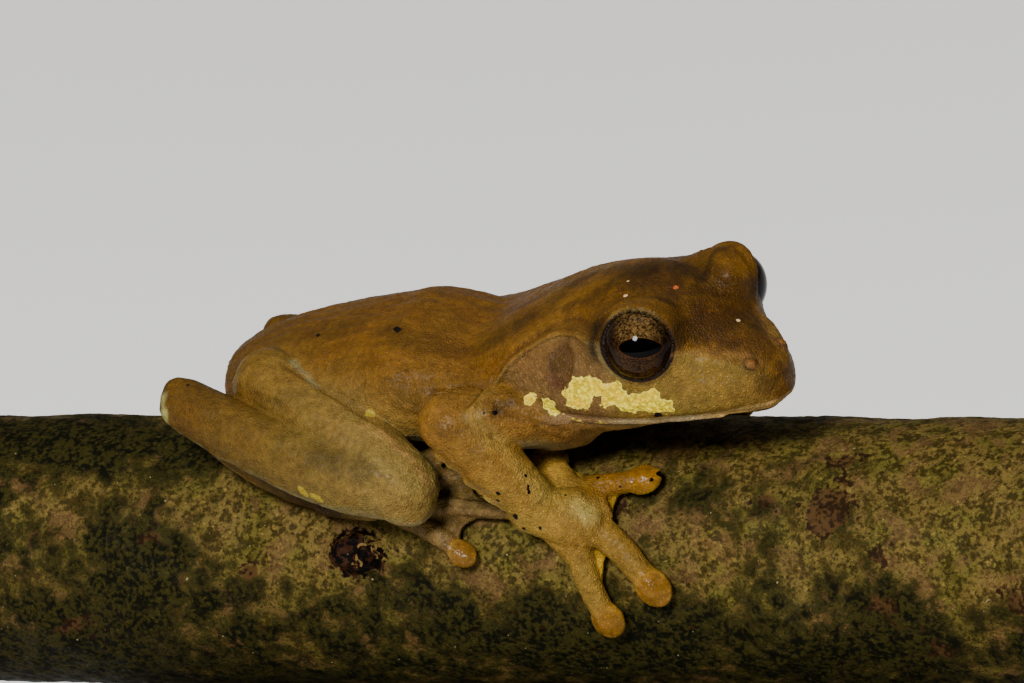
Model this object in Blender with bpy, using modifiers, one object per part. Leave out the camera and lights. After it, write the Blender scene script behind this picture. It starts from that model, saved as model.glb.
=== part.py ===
# A hoabinhensis tree frog gripping a short length of branch, on a display stand.
# Lengths are in millimetres, measured from the middle of the branch's crest:
# +X along the branch and the way the frog faces, +Y to the frog's left, +Z up.
# Each finished node is raised onto the stand and scaled to metres.
import math

import bmesh
import bpy
import numpy as np
from mathutils import Matrix, Vector
from mathutils.bvhtree import BVHTree

METRES = 0.001
GAP = 0.3
OBJECT_NAME = "tree_frog_on_perch"

# Display stand and perch
BASE_LENGTH = 78.0
BASE_WIDTH = 48.0
BASE_THICKNESS = 4.0
BASE_EDGE = 0.8
ROD_RADIUS = 2.0
ROD_SPACING = 44.0
ROD_HEIGHT = 9.0
PERCH_RADIUS = 10.6
PERCH_LENGTH = 96.0
PERCH_BEVEL = 0.7
CREST_HEIGHT = BASE_THICKNESS + ROD_HEIGHT + 2.0 * PERCH_RADIUS

# Knot and swelling of the branch: place along it, angle round it from the crest
# (in radians, negative to the right), height, half length and half width
KNOT = (-10.5, -1.136, 1.3, 2.1, 1.8)
SWELLING = (25.6, -1.73, 0.9, 3.5, 2.8)

# Head: place of the snout tip, and how the head turns on the body
SNOUT_TIP = Vector((27.1, -7.0, 8.0))
HEAD_YAW = 19.0
HEAD_PITCH = -8.0
HEAD_ROLL = 0.8
NECK_CUT = -23.0

# Head sections behind the snout tip:
# distance, half width, height of the widest level, height of the top, lowest level
SKULL = [
    (-1.0, 0.7, -1.5, -0.6, -2.3),
    (-1.5, 1.9, -1.7, 0.2, -2.8),
    (-2.7, 3.1, -1.8, 1.1, -3.1),
    (-4.3, 4.4, -2.1, 1.8, -3.4),
    (-6.5, 5.9, -2.5, 2.7, -3.8),
    (-10.0, 7.4, -3.0, 4.3, -4.7),
    (-14.0, 8.6, -3.4, 4.8, -5.4),
    (-18.0, 9.0, -3.5, 3.6, -6.0),
    (-22.0, 8.9, -3.4, 1.5, -7.0),
    (-27.0, 7.2, -3.6, -1.8, -7.6),
    (-33.0, 4.6, -5.2, -5.0, -7.0),
]
JAW = [
    (-1.8, 0.9, -2.8, -1.8, -3.4),
    (-2.9, 2.1, -2.9, -1.8, -3.9),
    (-5.0, 3.4, -3.2, -1.8, -4.2),
    (-8.0, 5.0, -3.7, -2.0, -5.1),
    (-12.0, 6.6, -4.4, -2.5, -6.6),
    (-16.0, 7.8, -4.9, -3.0, -8.2),
    (-20.0, 8.4, -5.2, -3.0, -9.5),
    (-25.0, 8.3, -5.2, -3.0, -9.8),
]
SKULL_SHAPE = (2.0, 2.2)
JAW_SHAPE = (2.0, 2.3)
MOUTH_LINE = [
    (2.0, -2.65), (-1.5, -2.85), (-5.0, -3.25), (-8.0, -3.75), (-11.5, -4.5), (-16.5, -5.1), (-19.5, -5.3),
]
THROAT_END = -19.5

# Eyes, lids, nostrils and ears, in the head's own frame for the left side
EYE_PLACE = Vector((-10.35, 5.2, 2.0))
EYE_RADIUS = 2.8
BROW_SIZE = (5.0, 3.6, 2.8)
EYE_AXIS = Vector((0.34, 0.86, 0.33)).normalized()
LID_THICKNESS = 0.45
LID_OPENING = 2.55
LID_FLARE = 2.3
LID_SET_BACK = 0.2
OPENING_START = 0.9
OPENING_DEPTH = 4.0
NOSTRIL_PLACE = Vector((-2.5, 2.0, 1.0))
NOSTRIL_AXIS = Vector((0.25, 0.9, 0.35)).normalized()
NOSTRIL_MOUND = 0.6
NOSTRIL_RADIUS = 0.3
EAR_PLACE = (-17.2, -0.9)
EAR_RADIUS = 1.75
EAR_DEPTH = 0.42
FOLD = [(-13.4, 1.9), (-15.5, 2.0), (-18.0, 1.2), (-20.5, -0.8), (-21.8, -2.8), (-22.2, -4.4)]
FOLD_RADIUS = 0.6
CANTHUS = [(-8.0, 4.1, 1.2, 0.95), (-5.0, 3.2, 0.8, 0.7), (-3.1, 2.1, 0.4, 0.55), (-2.0, 1.4, -0.1, 0.4)]
LIP_RADIUS = 0.45
POUCH_PLACE = Vector((-21.6, 4.6, -7.2))
POUCH_SIZE = (6.0, 3.8, 3.0)

# Torso sections: place along the branch, middle, half width, widest level, top, bottom
TORSO = [
    (9.0, -1.0, 7.6, 6.0, 11.2, 1.2),
    (5.0, -0.8, 8.5, 5.1, 10.0, 0.6),
    (1.0, -0.4, 8.6, 5.1, 9.2, 0.6),
    (-4.5, 0.0, 8.6, 5.2, 10.2, 0.9),
    (-10.0, 0.3, 8.3, 5.0, 9.9, 0.9),
    (-15.5, 0.6, 7.2, 4.9, 8.8, 0.9),
    (-19.5, 0.7, 5.5, 4.7, 7.7, 1.4),
    (-22.2, 0.7, 3.6, 4.4, 6.4, 2.4),
]
TORSO_SHAPE = (2.2, 2.5)
TUBERCLES = 6
TUBERCLE_RADIUS = 0.42

# Limbs: joints on the body, and places on the branch as distance along it,
# angle round it from the crest towards the limb's side, and height over the bark
RIGHT = {
    "sign": -1.0,
    "shoulder": (7.5, 6.8, 4.9), "elbow": (-0.3, 10.6, 4.9), "wrist": (6.4, 49.0, 2.5),
    "palm": (8.6, 51.0, 1.6),
    "fingers": [
        ((7.0, 42.5), (5.8, 32.0), (4.6, 22.0), 1.1),
        ((7.4, 40.5), (10.2, 38.0), (13.1, 34.8), 1.25),
        ((9.4, 53.5), (12.0, 64.0), (14.4, 78.0), 1.42),
        ((8.1, 56.5), (9.0, 74.0), (10.3, 91.5), 1.32),
    ],
    "hip": (-17.3, 4.2, 5.3), "knee": (-5.0, 11.1, 0.3), "heel": (-23.7, 6.8, 5.1),
    "ankle": (-11.8, 43.0, 1.7), "sole": (-8.6, 43.0, 1.5),
    "toes": [
        ((-9.0, 38.0), (-8.2, 28.0), (-7.2, 19.0), 0.85),
        ((-8.6, 41.0), (-6.2, 30.0), (-4.0, 22.0), 0.95),
        ((-7.6, 45.0), (-3.6, 36.0), (0.4, 28.5), 1.05),
        ((-7.2, 46.0), (-1.8, 45.5), (3.6, 45.0), 1.1),
        ((-7.0, 49.0), (-4.0, 56.0), (-1.2, 65.2), 1.1),
    ],
}
LEFT = {
    "sign": 1.0,
    "shoulder": (8.6, 5.6, 4.8), "elbow": (2.4, 10.2, 4.2), "wrist": (8.8, 50.0, 2.5),
    "palm": (11.0, 52.0, 1.6),
    "fingers": [
        ((9.4, 43.5), (8.2, 33.0), (7.0, 23.0), 1.1),
        ((9.8, 42.0), (12.7, 41.5), (15.8, 39.0), 1.25),
        ((11.8, 54.5), (14.5, 65.0), (17.0, 78.5), 1.42),
        ((10.5, 57.5), (11.4, 75.0), (12.7, 91.0), 1.32),
    ],
    "hip": (-16.6, 4.6, 4.2), "knee": (-4.0, 11.4, 0.2), "heel": (-21.0, 7.6, 3.9),
    "ankle": (-9.8, 48.0, 1.7), "sole": (-6.6, 49.0, 1.5),
    "toes": [
        ((-7.0, 39.0), (-6.2, 29.0), (-5.2, 20.0), 0.85),
        ((-6.6, 42.0), (-4.2, 31.0), (-2.0, 23.0), 0.95),
        ((-5.6, 46.0), (-1.6, 37.0), (2.4, 29.5), 1.05),
        ((-5.2, 50.0), (0.2, 48.0), (5.6, 47.0), 1.1),
        ((-5.6, 55.0), (-2.8, 61.0), (0.0, 66.0), 1.1),
    ],
}
SHOULDER_RADIUS = 2.7
ELBOW_RADIUS = 2.5
FOREARM_RADIUS = 2.3
FOREARM_SWELL = 0.5
WRIST_RADIUS = 1.8
FRINGE_LOBES = 9
FRINGE_RADIUS = 0.45
HIP_RADIUS = 3.4
KNEE_RADIUS = 2.95
SHANK_RADIUS = 2.9
HEEL_RADIUS = 2.1
TARSUS_RADIUS = 1.6
TARSUS_BOW = 1.5
DIGIT_TAPER = (0.86, 0.74)
DIGIT_HEIGHT = 0.95
DISC_HEIGHT = 0.8
DISC_THICKNESS = 0.75
WEB_HEIGHT = 0.62
WEB_THICKNESS = 0.62
HAND_WEBS = [((0.95, 0.3), 0.1), ((0.6, 0.45), 0.14), ((0.32, 0.86), 0.14)]
FOOT_WEB = ((0.92, 0.92), 0.22)

# Fineness of the fused forms, and the triangles each node is thinned to
BODY_VOXEL = 0.34
LIMB_VOXEL = 0.26
HAND_VOXEL = 0.2
TRIANGLES = {
    "body": 4200, "arm": 380, "hand": 800, "thigh": 260, "shank": 280, "foot": 900, "perch": 1100,
}

# Colours of the animal and its mount
SKIN = (0.30, 0.17, 0.045)
BACK = (0.20, 0.11, 0.035)
HAND_SKIN = (0.50, 0.27, 0.06)
EYE_DARK = (0.03, 0.018, 0.01)
BARK = (0.16, 0.14, 0.07)
STAND_BLACK = (0.03, 0.03, 0.03)


def head_frame():
    """Forward, left and up directions of the head."""
    yaw = math.radians(HEAD_YAW)
    pitch = math.radians(HEAD_PITCH)
    roll = math.radians(HEAD_ROLL)
    level = Vector((math.cos(yaw), -math.sin(yaw), 0.0))
    across = Vector((math.sin(yaw), math.cos(yaw), 0.0))
    left = (math.cos(roll) * across + math.sin(roll) * Vector((0.0, 0.0, 1.0))).normalized()
    rise = level.cross(left)
    forward = (math.cos(pitch) * level + math.sin(pitch) * rise).normalized()
    return forward, left, forward.cross(left)


FORWARD, LEFTWARD, UPWARD = head_frame()


def head_point(x, y, z):
    """A point given in the head's frame."""
    return SNOUT_TIP + FORWARD * float(x) + LEFTWARD * float(y) + UPWARD * float(z)


def bark_point(x, angle, height):
    """A point over the bark: along the branch, round it from the crest, and out from it."""
    turn = math.radians(angle)
    reach = PERCH_RADIUS + height
    return Vector((x, reach * math.sin(turn), reach * math.cos(turn) - PERCH_RADIUS))


def bark_normal(point):
    """Direction straight out of the branch at a point."""
    return Vector((0.0, point[1], point[2] + PERCH_RADIUS)).normalized()


def smooth_rows(rows, steps):
    """Rows of numbers made denser along a smooth curve through them."""
    rows = np.array(rows, dtype=float)
    padded = np.vstack([2 * rows[0] - rows[1], rows, 2 * rows[-1] - rows[-2]])
    out = []
    for i in range(1, len(padded) - 2):
        a, b, c, d = padded[i - 1:i + 3]
        for t in np.arange(steps) / steps:
            out.append(0.5 * (2 * b + (c - a) * t + (2 * a - 5 * b + 4 * c - d) * t ** 2
                              + (3 * b - a - 3 * c + d) * t ** 3))
    out.append(rows[-1])
    return np.array(out)


def mesh_object(name, vertices, faces):
    mesh = bpy.data.meshes.new(name)
    mesh.from_pydata([tuple(v) for v in vertices], [], faces)
    mesh.update()
    obj = bpy.data.objects.new(name, mesh)
    bpy.context.scene.collection.objects.link(obj)
    return obj


def loft(name, rings):
    """A closed body through rings of equal counts, each end closed to a point at its middle."""
    count = len(rings[0])
    vertices = [v for ring in rings for v in ring]
    faces = []
    for i in range(len(rings) - 1):
        for j in range(count):
            k = (j + 1) % count
            faces.append((i * count + j, i * count + k, (i + 1) * count + k, (i + 1) * count + j))
    last = (len(rings) - 1) * count
    vertices.append(np.mean(rings[0], axis=0))
    vertices.append(np.mean(rings[-1], axis=0))
    for j in range(count):
        k = (j + 1) % count
        faces.append((len(vertices) - 2, k, j))
        faces.append((len(vertices) - 1, last + j, last + k))
    obj = mesh_object(name, vertices, faces)
    data = bmesh.new()
    data.from_mesh(obj.data)
    bmesh.ops.recalc_face_normals(data, faces=data.faces)
    data.to_mesh(obj.data)
    data.free()
    return obj


def section(half_width, middle, top, bottom, shape, sides):
    """Offsets across and up of a section whose upper and lower halves are superellipses."""
    points = []
    for j in range(sides):
        turn = 2 * math.pi * j / sides
        c, s = math.cos(turn), math.sin(turn)
        power = 2.0 / (shape[0] if s >= 0 else shape[1])
        rise = (top - middle) if s >= 0 else (middle - bottom)
        points.append((half_width * math.copysign(abs(c) ** power, c),
                       middle + rise * math.copysign(abs(s) ** power, s)))
    return points


def head_loft(name, rows, shape, sides=40, steps=4):
    rings = []
    for x, width, middle, top, bottom in smooth_rows(rows, steps):
        rings.append([head_point(x, y, z) for y, z in section(width, middle, top, bottom, shape, sides)])
    return loft(name, rings)


def torso_loft(name, sides=40, steps=4):
    rings = []
    for x, centre, width, middle, top, bottom in smooth_rows(TORSO, steps):
        ring = section(width, middle, top, bottom, TORSO_SHAPE, sides)
        rings.append([Vector((x, centre + y, z)) for y, z in ring])
    return loft(name, rings)


def limb(name, stations, up, sides=20, steps=5):
    """A limb with round ends through stations of a point, a half width and a half height."""
    rows = smooth_rows([(*point, width, height) for point, width, height in stations], steps)
    points = rows[:, :3]
    ahead = np.gradient(points, axis=0)
    ahead /= np.linalg.norm(ahead, axis=1)[:, None]
    up = np.array(up, dtype=float)
    rings = []
    angles = 2 * np.pi * np.arange(sides) / sides

    def ring(i, shift, scale):
        across = np.cross(up, ahead[i])
        across /= np.linalg.norm(across)
        rise = np.cross(ahead[i], across)
        middle = points[i] + ahead[i] * shift
        width, height = rows[i, 3] * scale, rows[i, 4] * scale
        return [middle + across * width * math.cos(a) + rise * height * math.sin(a) for a in angles]

    last = len(rows) - 1
    cap = [(math.sin(math.radians(turn)), math.cos(math.radians(turn))) for turn in (35, 60, 80)]
    for reach, scale in reversed(cap):
        rings.append(ring(0, -rows[0, 3:5].mean() * reach, scale))
    rings += [ring(i, 0.0, 1.0) for i in range(len(rows))]
    for reach, scale in cap:
        rings.append(ring(last, rows[last, 3:5].mean() * reach, scale))
    return loft(name, rings)


def ball(name, centre, radius, scale=(1.0, 1.0, 1.0), axes=None, segments=18):
    """A sphere, or an ellipsoid with its three axes along the given directions."""
    data = bmesh.new()
    bmesh.ops.create_uvsphere(data, u_segments=segments, v_segments=segments // 2, radius=radius)
    turn = Matrix.Identity(4)
    if axes:
        turn = Matrix((axes[0], axes[1], axes[2])).transposed().to_4x4()
    data.transform(Matrix.Translation(centre) @ turn @ Matrix.Diagonal((*scale, 1.0)))
    mesh = bpy.data.meshes.new(name)
    data.to_mesh(mesh)
    data.free()
    obj = bpy.data.objects.new(name, mesh)
    bpy.context.scene.collection.objects.link(obj)
    return obj


def cone(name, start, axis, length, radius_start, radius_end, segments=32):
    """A straight or tapering rod from a start point along an axis."""
    data = bmesh.new()
    bmesh.ops.create_cone(data, cap_ends=True, segments=segments, radius1=radius_start,
                          radius2=radius_end, depth=length)
    axis = Vector(axis).normalized()
    turn = axis.to_track_quat("Z", "Y").to_matrix().to_4x4()
    data.transform(Matrix.Translation(Vector(start) + axis * length / 2) @ turn)
    mesh = bpy.data.meshes.new(name)
    data.to_mesh(mesh)
    data.free()
    obj = bpy.data.objects.new(name, mesh)
    bpy.context.scene.collection.objects.link(obj)
    return obj


def prism(name, outline, to_world, half_depth):
    """A flat outline of (x, z) points, thickened both ways across the head or body."""
    count = len(outline)
    vertices = [to_world(x, -half_depth, z) for x, z in outline]
    vertices += [to_world(x, half_depth, z) for x, z in outline]
    faces = [tuple(range(count)), tuple(range(2 * count - 1, count - 1, -1))]
    for i in range(count):
        k = (i + 1) % count
        faces.append((i, i + count, k + count, k))
    obj = mesh_object(name, vertices, faces)
    data = bmesh.new()
    data.from_mesh(obj.data)
    bmesh.ops.recalc_face_normals(data, faces=data.faces)
    data.to_mesh(obj.data)
    data.free()
    return obj


def half_space(name, point, normal, reach=60.0):
    """A large block that fills everything on the far side of a plane."""
    normal = Vector(normal).normalized()
    data = bmesh.new()
    bmesh.ops.create_cube(data, size=2 * reach)
    turn = normal.to_track_quat("Z", "Y").to_matrix().to_4x4()
    data.transform(Matrix.Translation(Vector(point) + normal * reach) @ turn)
    mesh = bpy.data.meshes.new(name)
    data.to_mesh(mesh)
    data.free()
    obj = bpy.data.objects.new(name, mesh)
    bpy.context.scene.collection.objects.link(obj)
    return obj


def remove(objects):
    for obj in objects:
        bpy.data.objects.remove(obj)


def settle(obj):
    """Replaces an object's mesh with the shape its modifiers give."""
    graph = bpy.context.evaluated_depsgraph_get()
    mesh = bpy.data.meshes.new_from_object(obj.evaluated_get(graph))
    obj.modifiers.clear()
    obj.data = mesh
    return obj


def fuse(name, pieces, voxel, smooth_steps, triangles=None):
    """One closed skin round overlapping pieces, softened, and thinned if a triangle count is given."""
    data = bmesh.new()
    for piece in pieces:
        data.from_mesh(piece.data)
    mesh = bpy.data.meshes.new(name)
    data.to_mesh(mesh)
    data.free()
    remove(pieces)
    obj = bpy.data.objects.new(name, mesh)
    bpy.context.scene.collection.objects.link(obj)
    skin = obj.modifiers.new("skin", "REMESH")
    skin.mode = "VOXEL"
    skin.voxel_size = voxel
    soften = obj.modifiers.new("soften", "SMOOTH")
    soften.factor = 0.5
    soften.iterations = smooth_steps
    settle(obj)
    return thin_to(obj, triangles) if triangles else obj


def copy_of(obj, name):
    twin = bpy.data.objects.new(name, obj.data.copy())
    bpy.context.scene.collection.objects.link(twin)
    return twin


def thin_to(obj, triangles):
    """Thins a form to about a number of triangles."""
    present = sum(len(face.vertices) - 2 for face in obj.data.polygons)
    thin = obj.modifiers.new("thin", "DECIMATE")
    thin.use_collapse_triangulate = True
    thin.ratio = min(1.0, triangles / present)
    return settle(obj)


def grown(obj, triangles):
    """A copy of a form with its surface moved out by the gap, used to cut what lies beside it."""
    twin = copy_of(obj, obj.name + "_grown")
    swell = twin.modifiers.new("swell", "DISPLACE")
    swell.strength = GAP
    swell.mid_level = 0.0
    skin = twin.modifiers.new("skin", "REMESH")
    skin.mode = "VOXEL"
    skin.voxel_size = LIMB_VOXEL
    settle(twin)
    return thin_to(twin, triangles)


def cut(obj, cutters, keep_cutters=False):
    """Takes cutters away from a form."""
    for cutter in cutters:
        step = obj.modifiers.new("cut", "BOOLEAN")
        step.operation = "DIFFERENCE"
        step.solver = "EXACT"
        step.object = cutter
        settle(obj)
    if not keep_cutters:
        remove(cutters)
    return obj


def largest_body(obj):
    """Keeps the largest connected surface of a form."""
    data = bmesh.new()
    data.from_mesh(obj.data)
    bmesh.ops.triangulate(data, faces=data.faces)
    bmesh.ops.remove_doubles(data, verts=data.verts, dist=0.004)
    bmesh.ops.dissolve_degenerate(data, edges=data.edges, dist=0.004)
    data.verts.ensure_lookup_table()
    left = set(data.verts)
    bodies = []
    while left:
        stack = [left.pop()]
        body = []
        while stack:
            vertex = stack.pop()
            body.append(vertex)
            for edge in vertex.link_edges:
                other = edge.other_vert(vertex)
                if other in left:
                    left.remove(other)
                    stack.append(other)
        bodies.append(body)
    if not bodies:
        raise ValueError(obj.name + " has no surface left")
    bodies.sort(key=len)
    for body in bodies[:-1]:
        bmesh.ops.delete(data, geom=body, context="VERTS")
    bmesh.ops.triangulate(data, faces=data.faces)
    data.to_mesh(obj.data)
    data.free()
    return obj


def material(name, colour, roughness, metallic=0.0):
    mat = bpy.data.materials.new(name)
    mat.use_nodes = True
    shader = mat.node_tree.nodes["Principled BSDF"]
    shader.inputs["Base Color"].default_value = (*colour, 1.0)
    shader.inputs["Roughness"].default_value = roughness
    shader.inputs["Metallic"].default_value = metallic
    return mat


def finish(obj, name, mat, collection):
    """Names a node, stands it on the base, scales it to metres and gives it its material."""
    largest_body(obj)
    obj.data.transform(Matrix.Scale(METRES, 4) @ Matrix.Translation((0.0, 0.0, CREST_HEIGHT)))
    obj.name = name
    obj.data.name = name
    obj.data.materials.clear()
    obj.data.materials.append(mat)
    obj.data.shade_smooth()
    obj.data.set_sharp_from_angle(angle=math.radians(50))
    for other in list(obj.users_collection):
        other.objects.unlink(obj)
    collection.objects.link(obj)
    return obj


def on_side(surface, side, x, z, depth=0.0):
    """The point of a head surface at a distance behind the snout and a height, sunk in by a depth."""
    out = LEFTWARD * side
    place = surface.ray_cast(head_point(x, 0, z) + out * 30.0, -out)[0]
    return place - out * depth


def surface_of(obj):
    """An object's surface, for finding points on it."""
    return BVHTree.FromObject(obj, bpy.context.evaluated_depsgraph_get())


def head_and_torso():
    """The head, jaw and trunk as one fused form, with the ridges and folds of the head."""
    axes = (FORWARD, LEFTWARD, UPWARD)
    pieces = [head_loft("skull", SKULL, SKULL_SHAPE), head_loft("jaw", JAW, JAW_SHAPE), torso_loft("trunk")]
    for side in (-1.0, 1.0):
        brow = head_point(EYE_PLACE.x - 1.6, side * (EYE_PLACE.y - 0.8), EYE_PLACE.z - 0.7)
        pieces.append(ball("brow", brow, 1.0, BROW_SIZE, axes))
        pouch = head_point(POUCH_PLACE.x, side * POUCH_PLACE.y, POUCH_PLACE.z)
        pieces.append(ball("throat_pouch", pouch, 1.0, POUCH_SIZE, axes))
    core = fuse("core", pieces, BODY_VOXEL, 6)
    surface = surface_of(core)
    pieces = [core]
    for side in (-1.0, 1.0):
        eye = head_point(EYE_PLACE.x, side * EYE_PLACE.y, EYE_PLACE.z)
        out = FORWARD * EYE_AXIS.x + LEFTWARD * side * EYE_AXIS.y + UPWARD * EYE_AXIS.z
        pieces.append(ball("lid", eye - out * LID_SET_BACK, EYE_RADIUS + GAP + LID_THICKNESS, segments=28))
        ridge = [(head_point(x, side * y, z), r, r) for x, y, z, r in CANTHUS]
        pieces.append(limb("canthus", ridge, UPWARD))
        nostril = head_point(NOSTRIL_PLACE.x, side * NOSTRIL_PLACE.y, NOSTRIL_PLACE.z - 0.1)
        pieces.append(ball("nostril_mound", nostril, NOSTRIL_MOUND))
        fold = [(on_side(surface, side, x, z), FOLD_RADIUS, FOLD_RADIUS) for x, z in FOLD]
        pieces.append(limb("ear_fold", fold, FORWARD))
        lip = [(on_side(surface, side, x, z + LIP_RADIUS, 0.25), LIP_RADIUS, LIP_RADIUS)
               for x, z in MOUTH_LINE[2:-1]]
        pieces.append(limb("lip", lip, UPWARD))
    for i in range(TUBERCLES):
        share = (i + 0.5) / TUBERCLES - 0.5
        pieces.append(ball("tubercle", Vector((-22.5 + 6.0 * share ** 2, 0.7 + 5.5 * share, 5.4)),
                           TUBERCLE_RADIUS))
    return fuse("head_and_torso", pieces, BODY_VOXEL, 2, TRIANGLES["body"])


def ear_dish(body, side):
    """A short plug that presses the round of an eardrum into the side of the head."""
    out = (LEFTWARD * side * 0.97 + UPWARD * 0.2 + FORWARD * 0.1).normalized()
    place = on_side(surface_of(body), side, *EAR_PLACE)
    return cone("ear_dish", place - out * EAR_DEPTH, out, 3.0, EAR_RADIUS * 0.9, EAR_RADIUS * 1.3, 20)


def sided(row, side):
    """A body point given for the left side, moved to its own side."""
    return Vector((row[0], side * row[1], row[2]))


def arm_form(pose, name):
    side = pose["sign"]
    shoulder = sided(pose["shoulder"], side)
    elbow = sided(pose["elbow"], side)
    wrist_x, wrist_angle, wrist_height = pose["wrist"]
    wrist = bark_point(wrist_x, side * wrist_angle, wrist_height)
    upper = limb(name + "_upper", [(shoulder, SHOULDER_RADIUS, SHOULDER_RADIUS),
                                   (elbow, ELBOW_RADIUS * 0.95, ELBOW_RADIUS * 0.95)], (0, 0, 1))
    fore_rows = []
    for share, radius in ((0.0, ELBOW_RADIUS), (0.45, FOREARM_RADIUS), (0.8, 1.95), (1.0, WRIST_RADIUS)):
        middle = elbow.lerp(wrist, share)
        swell = bark_normal(middle) * FOREARM_SWELL * math.sin(share * math.pi)
        fore_rows.append((middle + swell, radius, radius))
    fore = limb(name + "_fore", fore_rows, (0, 0, 1))
    lobes = []
    along = (wrist - elbow).normalized()
    out = bark_normal(elbow.lerp(wrist, 0.5))
    edge = along.cross(out).normalized()
    if edge.x > 0:
        edge = -edge
    for i in range(FRINGE_LOBES):
        share = 0.12 + 0.8 * i / (FRINGE_LOBES - 1)
        reach = 0.96 * np.interp(share, (0.0, 0.45, 1.0), (ELBOW_RADIUS, FOREARM_RADIUS, WRIST_RADIUS))
        lobes.append(ball("lobe", elbow.lerp(wrist, share) + edge * reach, FRINGE_RADIUS, segments=12))
    return upper, [fore] + lobes


def digit(name, side, row, tip_radius, root_radius):
    """One finger or toe along the bark, with its disc."""
    root, middle, tip = row
    path = [bark_point(x, side * angle, DIGIT_HEIGHT) for x, angle in (root, middle, tip)]
    stations = [(path[0], root_radius, root_radius * 0.95)]
    for place, taper in zip(path[1:], DIGIT_TAPER):
        stations.append((place, root_radius * taper, root_radius * taper * 0.88))
    finger = limb(name, stations, bark_normal(path[1]), sides=16)
    out = bark_normal(path[2])
    ahead = (path[2] - path[1]).normalized()
    ahead = (ahead - out * ahead.dot(out)).normalized()
    centre = bark_point(tip[0], side * tip[1], DISC_HEIGHT) - ahead * (0.12 * tip_radius)
    pad = ball(name + "_disc", centre, 1.0, (tip_radius * 1.2, tip_radius, DISC_THICKNESS),
               (ahead, out.cross(ahead), out))
    return [finger, pad]


def web(name, side, first, second, reaches, hollow):
    """A web between two neighbouring digits, out to its reach on each, with a hollow free edge."""
    rows, columns = 7, 6
    lower, upper = [], []
    for i in range(rows + 1):
        for j in range(columns + 1):
            across = j / columns
            reach = reaches[0] * (1 - across) + reaches[1] * across
            along = i / rows * (reach - hollow * math.sin(math.pi * across))
            ends = []
            for root, middle, tip in (first, second):
                curve = smooth_rows([root, middle, tip], 8)
                place = along * (len(curve) - 1)
                low = min(int(place), len(curve) - 2)
                ends.append(curve[low] + (curve[low + 1] - curve[low]) * (place - low))
            x, angle = ends[0] * (1 - across) + ends[1] * across
            lower.append(bark_point(x, side * angle, WEB_HEIGHT - WEB_THICKNESS / 2))
            upper.append(bark_point(x, side * angle, WEB_HEIGHT + WEB_THICKNESS / 2))
    vertices = lower + upper
    shift = len(lower)
    wide = columns + 1
    faces = []
    for i in range(rows):
        for j in range(columns):
            a, b = i * wide + j, i * wide + j + 1
            c, d = b + wide, a + wide
            faces.append((a, b, c, d))
            faces.append((a + shift, d + shift, c + shift, b + shift))
    border = [j for j in range(columns)] + [i * wide + columns for i in range(rows)]
    border += [rows * wide + j for j in range(columns, 0, -1)] + [i * wide for i in range(rows, 0, -1)]
    for i, a in enumerate(border):
        b = border[(i + 1) % len(border)]
        faces.append((a, a + shift, b + shift, b))
    obj = mesh_object(name, vertices, faces)
    data = bmesh.new()
    data.from_mesh(obj.data)
    bmesh.ops.recalc_face_normals(data, faces=data.faces)
    data.to_mesh(obj.data)
    data.free()
    return obj


def hand_form(pose, name):
    side = pose["sign"]
    wrist_x, wrist_angle, wrist_height = pose["wrist"]
    wrist = bark_point(wrist_x, side * wrist_angle, wrist_height)
    palm_x, palm_angle, palm_height = pose["palm"]
    palm = bark_point(palm_x, side * palm_angle, palm_height)
    toes = [bark_point(x, side * angle, DIGIT_HEIGHT) for (x, angle), _, _, _ in pose["fingers"]]
    far = (toes[1] + toes[2] + toes[3]) / 3
    elbow = sided(pose["elbow"], side)
    at_wrist = mitre(elbow, wrist, palm)
    heel_of_hand = limb(name + "_palm", [(wrist.lerp(palm, -0.4), WRIST_RADIUS, WRIST_RADIUS),
                                         (palm, 2.45, 1.5), (far, 2.4, 1.1)], bark_normal(palm))
    pieces = [cut(heel_of_hand, [half_space("plane", wrist + at_wrist * GAP / 2, -at_wrist)])]
    radii = (1.1, 1.1, 1.3, 1.2)
    for i, (root, middle, tip, disc) in enumerate(pose["fingers"]):
        pieces += digit(f"{name}_finger_{i}", side, (root, middle, tip), disc, radii[i])
    rows = [row[:3] for row in pose["fingers"]]
    for i, (reaches, hollow) in enumerate(HAND_WEBS):
        pieces.append(web(f"{name}_web_{i}", side, rows[i], rows[i + 1], reaches, hollow))
    return fuse(name, pieces, HAND_VOXEL, 3, TRIANGLES["hand"])


def foot_form(pose, name):
    side = pose["sign"]
    ankle_x, ankle_angle, ankle_height = pose["ankle"]
    ankle = bark_point(ankle_x, side * ankle_angle, ankle_height)
    sole_x, sole_angle, sole_height = pose["sole"]
    sole = bark_point(sole_x, side * sole_angle, sole_height)
    heel = sided(pose["heel"], side)
    start = ankle + (heel - ankle).normalized() * 2.0
    stations = [(start, 1.7, 1.5), (ankle, 1.9, 1.3), (sole, 2.2, 1.1)]
    pieces = [limb(name + "_sole", stations, bark_normal(sole))]
    radii = (0.75, 0.85, 0.9, 0.95, 0.95)
    for i, (root, middle, tip, disc) in enumerate(pose["toes"]):
        pieces += digit(f"{name}_toe_{i}", side, (root, middle, tip), disc, radii[i])
    rows = [row[:3] for row in pose["toes"]]
    for i in range(4):
        pieces.append(web(f"{name}_web_{i}", side, rows[i], rows[i + 1], *FOOT_WEB))
    return fuse(name, pieces, HAND_VOXEL, 3, TRIANGLES["foot"])


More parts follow.
